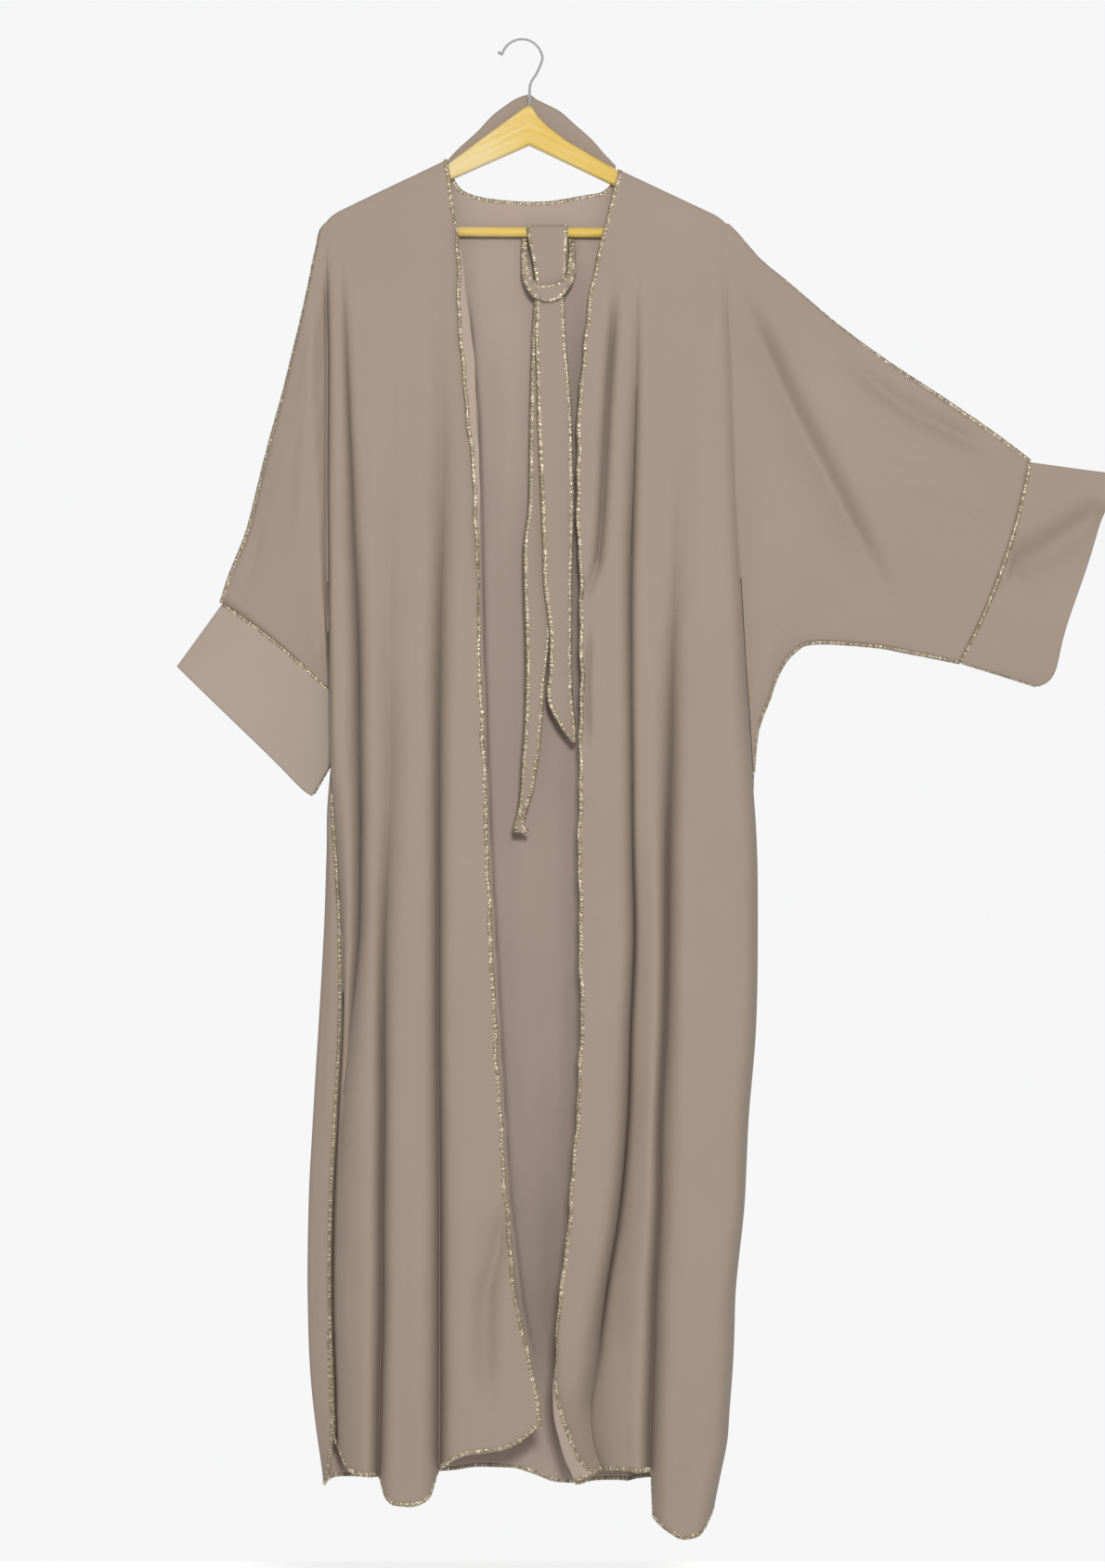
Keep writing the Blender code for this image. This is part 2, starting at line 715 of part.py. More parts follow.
def back():
    """Stations of the back from its right side seam to its left one."""
    lines = ("p", "q", "neck_r", "neck_l", "r", "s")
    right, left = RIDGE_RIGHT[::-1], RIDGE_LEFT
    columns = [seam_column(SEAM_RIGHT, right, BACK_HEM, BACK_CROSSING, "back")]
    columns += [turn_column(BACK_TURN_RIGHT, place, right, BACK_HEM) for place in "123"]
    columns += [hanging_column(station) for station in stations(lines)]
    columns += [turn_column(BACK_TURN_LEFT, place, left, BACK_HEM) for place in "321"]
    columns.append(seam_column(SEAM_LEFT, left, BACK_HEM, BACK_CROSSING, "back"))
    return np.array(columns).transpose(1, 0, 2)


def back_top(x):
    """Drop of the back's top edge and how it starts there."""
    if RIDGE_RIGHT[0][0] < x < RIDGE_LEFT[0][0]:
        return level(NECKLINE, x), NECK_CROSSING
    ridge = RIDGE_RIGHT[::-1] if x < 0 else RIDGE_LEFT
    return level(ridge, x), BACK_CROSSING


def hanging_column(station):
    x = across(BACK, station, 150.0)
    top, crossing = back_top(x)
    bottom = level(BACK_HEM, across(BACK, station, 1600.0))
    column = [(x, out, top + extra) for extra, out in crossing]
    for drop in hang(top, armpit_line(x), bottom):
        x = across(BACK, station, drop)
        folds = ("p", "q", "r", "s")
        away = [(read(BACK_RELIEF, n, drop), x - read(BACK, n, drop)) for n in folds]
        deep = sum(depth * trough(distance, 14.0) for depth, distance in away)
        column.append((x, deep - read(BACK_RELIEF, "face", drop), drop))
    return column


# ---------------------------------------------------------------- sleeves and cuffs
def ring_side(cuff, run, lip, sign, shares):
    """One side, front (+1) or back (-1), of a flattened ring across a sleeve or cuff."""
    x0, drop0, x1, drop1, bow, half = (
        np.interp(run, cuff["run"], cuff[name])
        for name in ("top_x", "top_drop", "low_x", "low_drop", "bow", "half")
    )
    t = np.asarray(shares, float)
    length = math.hypot(x1 - x0, drop1 - drop0)
    arch = 4 * t * (1 - t) * bow / length * np.sign(x0)
    swell = np.sin(math.pi * t).clip(0) ** 0.7
    return np.stack(
        [
            x0 + (x1 - x0) * t + (drop1 - drop0) * arch,
            sign * (lip + half * swell),
            drop0 + (drop1 - drop0) * t - (x1 - x0) * arch,
        ],
        axis=1,
    )


def sleeve(panel_side, top, under, steps, cuff, sign, bulge, folds=()):
    """A Coons patch between a panel's side column, two seams and the cuff seam."""
    inner = panel_side[: len(panel_side) - ROWS_BELOW]
    run = np.concatenate([[0], np.cumsum(np.linalg.norm(np.diff(inner, axis=0), axis=1))])
    t = run / run[-1]
    outer = ring_side(cuff, 0.0, SLEEVE_LIP, sign, t)
    s = np.array(steps, float)
    seams = []
    for line, end in ((top, inner[0]), (under, inner[-1])):
        points = along(line, s)
        fade = np.clip(1 - s / 0.2, 0, 1)
        out = end[OUT] * fade + sign * SLEEVE_LIP * (1 - fade)
        seam = np.stack([points[:, 0], out, points[:, 1]], axis=1)
        seam += (end - seam[0]) * fade[:, None]
        seams.append(seam)
    seams[0][-1], seams[1][-1] = outer[0], outer[-1]
    s, t = s[None, :, None], t[:, None, None]
    patch = (1 - s) * inner[:, None] + s * outer[:, None] + (1 - t) * seams[0] + t * seams[1]
    patch -= (1 - s) * ((1 - t) * inner[0] + t * inner[-1])
    patch -= s * ((1 - t) * outer[0] + t * outer[-1])
    crown = np.sin(math.pi * s[..., 0]) * np.sin(math.pi * t[..., 0]).clip(0) ** 0.6
    patch[..., OUT] += sign * bulge * crown
    for x0, drop0, x1, drop1, depth, width in folds:
        patch[..., OUT] -= sign * depth * crown * crease(patch, (x0, drop0), (x1, drop1), width)
    return patch


def crease(points, start, end, width):
    """How much of a straight fold's depth reaches each point, 0 to 1."""
    a, b = np.array(start, float), np.array(end, float)
    flat = points[..., [X, DROP]] - a
    run = np.clip(flat @ (b - a) / ((b - a) @ (b - a)), 0, 1)
    distance = np.linalg.norm(flat - run[..., None] * (b - a), axis=-1)
    return np.exp(-((distance / width) ** 2))


def cuff_rings(cuff):
    """Rings of a cuff from the sleeve's end to its outer edge, each closed on itself."""
    shares = 0.5 - 0.5 * np.cos(np.linspace(0, math.pi, CUFF_STEPS))
    top = np.stack([cuff["top_x"], cuff["top_drop"]], axis=1)
    length = np.linalg.norm(top[-1] - top[0])
    rings = []
    for run in (SEAM * 1.5 / length, 0.3, 0.6, 0.8, 1.0):
        near, far = (ring_side(cuff, run, CUFF_LIP, sign, shares) for sign in (1, -1))
        rings.append(np.concatenate([near, far[::-1], near[:1]]))
    return np.array(rings)


# ---------------------------------------------------------------- belt and strap
def ribbon(sheet, crown=0.8):
    """A flat strip from its table, bowed forwards a little in the middle."""
    rows = []
    for drop, left, right, out in zip(*(sheet[n] for n in ("drop", "left", "right", "out"))):
        middle = (left + right) / 2
        rows.append([(left, out, drop), (middle, out + crown, drop), (right, out, drop)])
    return np.array(rows)


def bight():
    rows = []
    for x, out, drop, height in BIGHT:
        half = height / 2
        lean = 1.0 if 10 < x < 50 else 0.0
        rows.append([(x, out - lean, drop - half), (x, out, drop), (x, out - lean, drop + half)])
    return side_on(np.array(rows))


def side_on(rows):
    """Turns the upright ends of the bight edge on, so that the band keeps its height there."""
    path = rows[:, 1]
    run = np.gradient(path, axis=0)
    for row, way in zip(rows, run):
        half = np.linalg.norm(row[2] - row[0]) / 2
        flat = np.array([way[X], way[DROP]])
        flat /= np.linalg.norm(flat)
        side = np.array([-flat[1], 0.0, flat[0]])
        row[0], row[2] = row[1] - side * half, row[1] + side * half
    return rows


def strap():
    xs, drops = np.array(STRAP_TOP).T
    heights = (STRAP_END_HEIGHT, STRAP_HEIGHT, STRAP_HEIGHT, STRAP_END_HEIGHT)
    reach = np.interp(xs, (xs[0], -60, 80, xs[-1]), heights)
    rows = []
    for x, drop, height in zip(xs, drops, reach):
        rows.append([(x, STRAP_OUT, drop + share * height) for share in (0, 0.5, 1)])
    return np.array(rows)


# ---------------------------------------------------------------- hanger
def curve_object(name, points, collection, surface, radii=None):
    """A POLY curve through points (x, out, drop)."""
    curve = bpy.data.curves.new(name, "CURVE")
    curve.dimensions = "3D"
    spline = curve.splines.new("POLY")
    spline.points.add(len(points) - 1)
    for point, (x, out, drop), radius in zip(spline.points, points, radii or [1] * len(points)):
        point.co = (x * MM, -out * MM, -drop * MM, 1)
        point.radius = radius
    obj = bpy.data.objects.new(name, curve)
    return finish(obj, collection, surface)


def hook(collection, surface):
    start, end = math.radians(168), math.radians(12)
    arc = [
        (HOOK_RADIUS * math.cos(a), 0, HOOK_RADIUS - WIRE_RADIUS - HOOK_RADIUS * math.sin(a))
        for a in np.linspace(start, end, 15)
    ]
    stem = smooth_line(HOOK_STEM, 13)
    tip = [(HOOK_TIP[0] + shift, 0, HOOK_TIP[1] + shift * 0.4) for shift in (-2.2, -1.4, 0.0, 1.2)]
    points = [*tip, *arc, *[(x, 0, drop) for x, drop in stem]]
    radii = [0.6, 1.35, 1.5, 1.0] + [1.0] * (len(points) - 4)
    obj = curve_object("hanger_hook", points, collection, surface, radii)
    obj.data.bevel_depth = WIRE_RADIUS * MM
    obj.data.bevel_resolution = 2
    obj.data.use_fill_caps = True
    return obj


def smooth_line(points, count):
    """A Catmull-Rom line through (x, drop) points."""
    line = np.array(points, float)
    padded = np.concatenate([[2 * line[0] - line[1]], line, [2 * line[-1] - line[-2]]])
    made = []
    for at in np.linspace(0, len(line) - 1, count):
        k = min(int(at), len(line) - 2)
        t = at - k
        a, b, c, d = padded[k : k + 4]
        rise = c - a + t * (2 * a - 5 * b + 4 * c - d + t * (3 * (b - c) + d - a))
        made.append(b + 0.5 * t * rise)
    return made


def bar(collection, surface):
    (x0, drop0), (x1, drop1) = BAR_ENDS
    length = math.hypot(x1 - x0, drop1 - drop0) - 2 * SEAM
    bpy.ops.mesh.primitive_cylinder_add(
        vertices=20,
        radius=BAR_RADIUS * MM,
        depth=length * MM,
        location=((x0 + x1) / 2 * MM, 0, -(drop0 + drop1) / 2 * MM),
        rotation=(0, math.pi / 2 + math.atan2(drop1 - drop0, x1 - x0), 0),
    )
    obj = bpy.context.object
    obj.name = obj.data.name = "hanger_bar"
    return finish(obj, collection, surface)


def wood(collection, surface):
    edges = zip(WOOD_EDGES["x"], WOOD_EDGES["top"], WOOD_EDGES["under"])
    rungs = np.array([[(x, 0.0, top), (x, 0.0, under)] for x, top, under in edges])
    obj = cloth("hanger_wood", [rungs], WOOD_THICK, collection, surface)
    rounding = obj.modifiers.new("Rounding", "BEVEL")
    rounding.width = WOOD_ROUND * MM
    rounding.segments = 2
    rounding.limit_method = "ANGLE"
    rounding.angle_limit = math.radians(60)
    rounding.use_clamp_overlap = False
    return obj


# ---------------------------------------------------------------- the whole part
def clear_scene():
    for obj in list(bpy.data.objects):
        bpy.data.objects.remove(obj, do_unlink=True)


def main():
    clear_scene()
    collection = bpy.data.collections.new("Abaya on hanger")
    bpy.context.scene.collection.children.link(collection)
    crepe = material("taupe crepe", CLOTH, 0.85)
    varnished = material("varnished beech", WOOD, 0.3)
    steel = material("bright steel", STEEL, 0.2, 1.0)

    right = front(
        FRONT_RIGHT,
        RIGHT_RELIEF,
        SEAM_RIGHT,
        ("a", "b", "c"),
        RIDGE_RIGHT[::-1],
        RIGHT_HEM,
        1,
    )
    left = front(
        FRONT_LEFT,
        LEFT_RELIEF,
        SEAM_LEFT,
        ("d", "e", "f"),
        RIDGE_LEFT,
        LEFT_HEM,
        -1,
    )
    behind = back()
    right_cut = (TOP_RIGHT, UNDER_RIGHT, RIGHT_STEPS, CUFF_RIGHT)
    left_cut = (TOP_LEFT, UNDER_LEFT, LEFT_STEPS, CUFF_LEFT)
    sleeve_right = sleeve(right[:, -1], *right_cut, 1, 6.0)
    sleeve_left = sleeve(left[:, -1], *left_cut, 1, 8.0, SLEEVE_FOLDS)
    back_right = sleeve(behind[:, 0], *right_cut, -1, 5.0)
    back_left = sleeve(behind[:, -1], *left_cut, -1, 8.0)

    cloth("front_right", [right, sleeve_right], WALL, collection, crepe)
    cloth("front_left", [left, sleeve_left], WALL, collection, crepe)
    cloth("back", [behind, back_right, back_left], WALL, collection, crepe)
    cloth("cuff_right", [cuff_rings(CUFF_RIGHT)], CUFF_WALL, collection, crepe)
    cloth("cuff_left", [cuff_rings(CUFF_LEFT)], CUFF_WALL, collection, crepe)
    cloth("belt_over_bar", [ribbon(BELT_OVER, 0.0)], 2.4, collection, crepe)
    cloth("belt_bight", [bight()], 2.0, collection, crepe)
    cloth("belt_tail_short", [ribbon(TAIL_SHORT)], WALL, collection, crepe)
    cloth("belt_tail_long", [ribbon(TAIL_LONG)], WALL, collection, crepe)
    cloth("hanging_strap", [strap()], STRAP_WALL, collection, crepe)
    wood(collection, varnished)
    bar(collection, varnished)
    hook(collection, steel)


main()
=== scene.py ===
# %% [markdown]
# # An open-front abaya cloak on a wooden trouser hanger
#
# The cloak is cut the dolman way: the back and the two fronts each carry their own
# half of the sleeves, straight cuffs close the sleeves, and a loose belt hangs on the
# hanger's bar. Every free edge and every seam is overlocked on the outside with a
# metallic thread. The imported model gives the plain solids; this lesson replaces the
# cloth with thin shells that have the real folds, sews the thread on, and gives the
# hanger its varnish and its bright wire.

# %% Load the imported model
import json
import math

import bmesh
import bpy
import numpy as np
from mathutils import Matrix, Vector

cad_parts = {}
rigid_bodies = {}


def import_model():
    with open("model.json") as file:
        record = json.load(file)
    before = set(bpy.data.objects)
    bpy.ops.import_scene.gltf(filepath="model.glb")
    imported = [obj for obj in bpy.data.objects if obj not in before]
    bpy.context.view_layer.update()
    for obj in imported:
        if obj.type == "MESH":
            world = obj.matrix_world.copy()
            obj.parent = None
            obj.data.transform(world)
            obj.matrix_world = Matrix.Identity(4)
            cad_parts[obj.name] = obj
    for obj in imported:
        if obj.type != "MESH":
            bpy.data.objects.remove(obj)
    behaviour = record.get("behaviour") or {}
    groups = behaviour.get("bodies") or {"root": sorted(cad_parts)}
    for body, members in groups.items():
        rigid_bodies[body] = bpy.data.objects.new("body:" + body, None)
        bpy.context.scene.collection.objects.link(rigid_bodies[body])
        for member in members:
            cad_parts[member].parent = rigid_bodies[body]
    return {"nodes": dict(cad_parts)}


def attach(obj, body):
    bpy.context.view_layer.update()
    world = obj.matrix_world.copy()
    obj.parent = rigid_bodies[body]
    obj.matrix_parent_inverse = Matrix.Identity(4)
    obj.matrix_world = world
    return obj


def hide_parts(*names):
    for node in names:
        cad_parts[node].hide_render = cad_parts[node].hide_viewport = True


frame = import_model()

for loaded in bpy.context.scene.objects:
    loaded.select_set(False)
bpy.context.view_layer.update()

# %% [markdown]
# ## Sizes and how they are written
#
# A pattern cutter writes millimetres measured from one point. Here x grows towards the
# wearer's left, drop is the distance below the point where the hook rests, and out is
# the distance in front of the hanger's own plane. Blender takes metres with the front
# facing -Y, so one function turns a point round at the end and nothing else has to.

# %% Units and reading a table
MM = 0.001
X, OUT, DROP = 0, 1, 2
STEPS_A_POINT = 12  # steps for each point of a line whose length is measured


def world(points):
    """Points (x, out, drop) in millimetres as Blender's metres."""
    return np.asarray(points, float) * (MM, -MM, -MM)


def table(names, *rows):
    """The columns of a table by name; a row that stops early repeats the one above it."""
    whole = [rows[0]]
    for row in rows[1:]:
        whole.append(row + whole[-1][len(row) :])
    return dict(zip(names.split(), np.array(whole, float).T))


def between(knots, values, slopes, place):
    """The height at a place on the smooth curve with these values and slopes at its knots."""
    k = np.clip(np.searchsorted(knots, place) - 1, 0, len(knots) - 2)
    step = knots[k + 1] - knots[k]
    t = np.clip((place - knots[k]) / step, 0.0, 1.0)
    ahead = (1 - t) ** 2 * ((1 + 2 * t) * values[k] + t * step * slopes[k])
    behind = t**2 * ((3 - 2 * t) * values[k + 1] + (t - 1) * step * slopes[k + 1])
    return ahead + behind


def read(sheet, name, drop):
    """One column of a table at any drop, on a smooth curve through its rows."""
    knots, values = sheet["drop"], sheet[name]
    return between(knots, values, np.gradient(values, knots), drop)


# %% Smooth lines
def ease(share):
    """A share from 0 to 1 that starts and ends gently."""
    share = np.clip(share, 0, 1)
    return share * share * (3 - 2 * share)


def run_of(points):
    """The distance run along a line at each of its points."""
    return np.concatenate([[0], np.cumsum(np.linalg.norm(np.diff(points, axis=0), axis=1))])


def smooth(points, count):
    """A smooth line or band through points or rows of points, count steps long."""
    line = np.array(points, float)
    padded = np.concatenate([[2 * line[0] - line[1]], line, [2 * line[-1] - line[-2]]])
    made = []
    for at in np.linspace(0, len(line) - 1, count):
        k = min(int(at), len(line) - 2)
        t = at - k
        a, b, c, d = padded[k : k + 4]
        rise = c - a + t * (2 * a - 5 * b + 4 * c - d + t * (3 * (b - c) + d - a))
        made.append(b + 0.5 * t * rise)
    return np.array(made)


def level(points, x):
    """Drop at x on a line given as (x, drop) points, with its corners eased."""
    xs, drops = np.array(points, float).T
    if xs[0] > xs[-1]:
        xs, drops = xs[::-1], drops[::-1]
    ways = np.diff(drops) / np.diff(xs)
    both = ways[:-1] * ways[1:]
    inner = np.where(both > 0, 2 * both / np.where(both > 0, ways[:-1] + ways[1:], 1), 0)
    slopes = np.concatenate([ways[:1], inner, ways[-1:]])
    return float(between(xs, drops, slopes, x))


def at_runs(line, run, at):
    """The points of a line at these distances run along it."""
    return np.stack([np.interp(at, run, column) for column in line.T], axis=1)


def along(points, shares):
    """Points (x, drop) at the given shares of a smooth line's length."""
    line = smooth(points, STEPS_A_POINT * len(points))
    run = run_of(line)
    return at_runs(line, run, np.asarray(shares) * run[-1])


# %% [markdown]
# ## Shader sums in Python
#
# A finish is mostly arithmetic on patterns: a bit of this noise, times that grain. Wiring
# Math nodes by hand hides the sum, so a small class holds a socket and lets Python's own
# signs add the node. Colours go through Mix nodes, because a Math node would turn them grey.

# %% A socket that can be added and multiplied
class Wire:
    """A shader socket that Python's signs work on; each sign adds a Math node."""

    def __init__(self, tree, socket):
        self.tree, self.socket = tree, socket

    def math(self, operation, first, second):
        node = self.tree.nodes.new("ShaderNodeMath")
        node.operation = operation
        for entry, value in zip(node.inputs, (first, second)):
            feed(self.tree, entry, value)
        return Wire(self.tree, node.outputs[0])

    def __add__(self, other):
        return self.math("ADD", self, other)

    def __sub__(self, other):
        return self.math("SUBTRACT", self, other)

    def __rsub__(self, other):
        return self.math("SUBTRACT", other, self)

    def __mul__(self, other):
        return self.math("MULTIPLY", self, other)

    __radd__ = __add__
    __rmul__ = __mul__


def feed(tree, entry, value):
    """Links a wire to a socket, or sets the socket's own value."""
    if isinstance(value, Wire):
        tree.links.new(value.socket, entry)
    else:
        entry.default_value = value


# %% A finish whose nodes are added one call at a time
class Finish:
    def __init__(self, name):
        self.material = bpy.data.materials.new(name)
        self.material.use_nodes = True
        self.tree = self.material.node_tree
        self.shader = self.tree.nodes["Principled BSDF"]
        self.place = self.node("ShaderNodeTexCoord", out="Object")

    def node(self, kind, settings=None, values=None, out=0):
        """A node of this type: its settings first, then its sockets' values or links."""
        made = self.tree.nodes.new(kind)
        for name, setting in (settings or {}).items():
            if name == "stops":
                ramp = made.color_ramp
                while len(ramp.elements) < len(setting):
                    ramp.elements.new(0.5)
                for stop, (at, colour) in zip(ramp.elements, setting):
                    stop.position, stop.color = at, (*colour, 1)
            else:
                setattr(made, name, setting)
        for name, value in (values or {}).items():
            feed(self.tree, made.inputs[name], value)
        return Wire(self.tree, made.outputs[out])

    def axes(self):
        """The three object coordinates, in metres, as a wire each."""
        split = self.node("ShaderNodeSeparateXYZ", None, {"Vector": self.place}).socket.node
        return [Wire(self.tree, split.outputs[axis]) for axis in "XYZ"]

    def stretched(self, scale):
        """Object coordinates, in metres, times a scale for each axis."""
        settings = {"operation": "MULTIPLY"}
        return self.node("ShaderNodeVectorMath", settings, {0: self.place, 1: scale})

    def noise(self, scale, detail=2.0, at=None):
        values = {"Vector": at or self.place, "Scale": scale, "Detail": detail}
        return self.node("ShaderNodeTexNoise", None, values)

    def mix(self, share, first, second):
        """One colour turning into another. On a Mix node A and B are sockets 6 and 7."""
        values = {0: share, 6: colour(first), 7: colour(second)}
        return self.node("ShaderNodeMix", {"data_type": "RGBA"}, values, out=2)

    def ramp(self, factor, *stops):
        return self.node("ShaderNodeValToRGB", {"stops": stops}, {"Fac": factor})

    def bump(self, height, strength, distance):
        values = {"Height": height, "Strength": strength, "Distance": distance}
        return self.node("ShaderNodeBump", None, values)

    def gives(self, **values):
        """What each socket of the shader gets, with Base_Color for Base Color."""
        for name, value in values.items():
            feed(self.tree, self.shader.inputs[name.replace("_", " ")], value)


def colour(value):
    return value if isinstance(value, Wire) else (*value, 1)


# %% [markdown]
# ## Crepe
#
# The cloth is a plain-dyed polyester crepe: heavy enough to fall in long smooth folds,
# matt, with a fine pebbled face that shows only close by. Two noises of thread size make
# the pebbles, one stretched along the warp, and a slow noise gives the faint unevenness
# of a dyed cloth. The face that lies inside the cloak is a touch cooler and pinker. It is
# also painted lighter: painted light that stands in for the shade inside the cloak. The
# right cuff gets a lighter, pinker copy of the crepe, and its lightness is painted light too.

# %% The outside and the inside of the crepe
def crepe(name, tone):
    finish = Finish(name)
    pebbles = finish.noise(1500.0)
    warp = finish.noise(1.0, 1.0, finish.stretched((1900.0, 1900.0, 420.0)))
    slow = finish.noise(4.5, 2.0)
    light = 0.88 + 0.10 * pebbles + 0.06 * warp + 0.10 * slow
    dark = [0.80 * v for v in tone]
    pale = [min(1.25 * v, 1.0) for v in tone]
    finish.gives(
        Base_Color=finish.mix((light - 0.8) * 2.0, dark, pale),
        Roughness=0.72 + 0.16 * pebbles,
        Normal=finish.bump(pebbles * 0.6 + warp * 0.4, 0.35, 0.25 * MM),
        Specular_IOR_Level=0.08,
        Sheen_Weight=0.02,
        Sheen_Roughness=0.5,
    )
    return finish.material


TAUPE = (0.202, 0.160, 0.127)
# The inside is cooler and pinker than the outside, and also painted lighter: painted light for the
# shade that lies inside the cloak.
TAUPE_INSIDE_PAINTED_LIGHTER = (0.243, 0.192, 0.160)
outside = crepe("crepe outside", TAUPE)
# The right cuff's crepe is lighter and pinker than the outside. Its lightness is painted light,
# which its face does not catch from the lamp.
cuff_crepe_painted_lighter = crepe("crepe of the right cuff, painted lighter", (0.226, 0.185, 0.153))
inside = crepe("crepe inside, painted lighter", TAUPE_INSIDE_PAINTED_LIGHTER)
print("crepe:", outside.name, inside.name)

# %% [markdown]
# ## Metallic thread
#
# The overlock thread is a thin gold foil strip twisted round a taupe core, so each stitch
# shows foil or core as it turns: that is why the edge glitters in points instead of
# shining like a wire. Each stitch carries one number, spark, saying how much foil it
# shows, and the finish reads its colour, metal and roughness from it. The brightest,
# near-white colour, which the stitches with the most foil reach, is a painted glint.

# %% Thread finish
def thread():
    finish = Finish("gold overlock thread")
    spark = finish.node("ShaderNodeAttribute", {"attribute_name": "spark"}, out="Fac")
    fleck = finish.noise(850.0, 1.0)
    shown = spark * 0.80 + fleck * 2.2 - 1.04
    # The last colour is a painted glint: near-white on random stitches, only partly metal, standing
    # in for foil catching the light.
    core, foil, painted_glint = (0.12, 0.09, 0.055), (0.45, 0.36, 0.22), (1.0, 0.93, 0.79)
    tones = finish.ramp(shown, (0.28, core), (0.52, foil), (0.80, painted_glint))
    metal = finish.ramp(shown, (0.30, (0.0,) * 3), (0.8, (0.6,) * 3))
    finish.gives(Base_Color=tones, Metallic=metal, Roughness=0.55 - 0.25 * shown)
    return finish.material


gold = thread()

# %% [markdown]
# ## Camera, light and floor
#
# The camera stands level with the middle of the cloak, a little over three metres away,
# where a long garment on its hanger is seen without being stretched. A little under half
# of the light comes from all round; the rest is one soft lamp above the camera and a
# little to the wearer's left, with a weak one behind. The lamp is small enough for a deep
# fold to cast a shadow. The floor is plain and pale, and lies well below the hem.

# %% Camera
CAMERA_X, CAMERA_AWAY, CAMERA_Z = 0.034, 3.2, -0.829
FRAME_HEIGHT = 1.748  # metres of the hanger's plane that the camera sees from top to foot
lens = bpy.data.cameras.new("camera")
lens.lens = lens.sensor_width * CAMERA_AWAY / FRAME_HEIGHT
camera = bpy.data.objects.new("camera", lens)
camera.location = (CAMERA_X, -CAMERA_AWAY, CAMERA_Z)
camera.rotation_euler = (math.radians(90), 0, 0)
bpy.context.scene.collection.objects.link(camera)
bpy.context.scene.camera = camera
bpy.context.scene.view_settings.view_transform = "Standard"
print("lens, mm:", round(lens.lens, 1))


# %% Soft lamps and the sky
def lamp(name, place, size, power):
    data = bpy.data.lights.new(name, "AREA")
    data.energy, data.size = power, size
    obj = bpy.data.objects.new(name, data)
    obj.location = place
    target = (np.array((0.03, 0.0, -0.85)) - place).tolist()
    obj.rotation_euler = Vector(target).to_track_quat("-Z", "Y").to_euler()
    bpy.context.scene.collection.objects.link(obj)


lamp("key lamp", (0.25, -3.35, 0.0), 0.42, 117.0)
lamp("lamp behind", (0.4, 3.2, 0.9), 2.4, 30.0)
sky = bpy.data.worlds.new("studio")
sky.use_nodes = True
SKY = (0.925, 0.925, 0.93)
sky.node_tree.nodes["Background"].inputs["Color"].default_value = (*SKY, 1)
bpy.context.scene.world = sky

# %% Floor
FLOOR_Z, FLOOR_WIDE = -1.98, 2.1
bpy.ops.mesh.primitive_plane_add(size=FLOOR_WIDE, location=(CAMERA_X, 0, FLOOR_Z))
floor = bpy.context.object
floor.name = "floor"
bpy.ops.object.transform_apply(location=True)
paint = Finish("pale floor")
pale = paint.mix(paint.noise(6.0), (0.80, 0.80, 0.80), (0.86, 0.86, 0.85))
paint.gives(Base_Color=pale, Roughness=0.8)
floor.data.materials.append(paint.material)

# %% [markdown]
# ## A piece of cloth from grids of points
#
# Every cloth piece is drawn as a pattern cutter thinks of it: columns that run down the
# cloth, rows that run across it. Where two grids share an edge, as the body and its half
# of the sleeve do, their points are merged. Solidify then gives the crepe its two faces,
# the inner one with the inside finish. Nothing is simulated: a hung cloak is still, and
# each of its folds has a known place, which a simulation would not keep.

# %% Making the cloth
CREPE, DOUBLED = 0.9, 1.2  # thickness of one layer and of the pressed belt, millimetres
MERGED, SPECK = 0.02 * MM, 0.01 * MM  # points this close are one; smaller faces go
WAVY_COLUMNS = 24
EDGE_WAVES = (  # the way it moves, depth, stretch, start
    (X, 0.6, 7.9, 0.0),
    (X, 0.6, 19.0, 1.3),
    (OUT, 0.8, 10.7, 0.5),
    (OUT, 0.7, 27.0, 0.0),
)
WAVES = (  # length, slant, start, depth
    (230.0, 0.031, 0.5, 0.8),
    (127.0, -0.052, 2.1, 0.5),
    (61.0, 0.11, 4.0, 0.2),
    (900.0, 0.14, 1.0, 0.4),
    (1400.0, -0.21, 2.6, 0.3),
)


def loosened(drops, start, over):
    """0 where the arms hold the cloth, growing to 1 below them."""
    return np.clip((drops - start) / over, 0, 1)


def stir(points):
    """Lets a grid wander a little out of its ideal surface, as limp cloth does."""
    free = loosened(points[..., DROP], 225, 80)
    for length, slant, start, depth in WAVES:
        turn = 2 * math.pi * points[..., DROP] / length + slant * points[..., X] + start
        points[..., OUT] += free * depth * np.sin(turn)
    return points


def ripple(grid):
    """Makes the free edge of a front wavy; it dies out over some of its columns."""
    fade = np.clip(1 - np.arange(grid.shape[1]) / WAVY_COLUMNS, 0, 1) ** 1.5
    drop = grid[..., DROP]
    free = loosened(drop, 215, 40) * fade
    for way, depth, stretch, start in EDGE_WAVES:
        grid[..., way] += free * depth * np.sin(drop / stretch + start)
    return grid


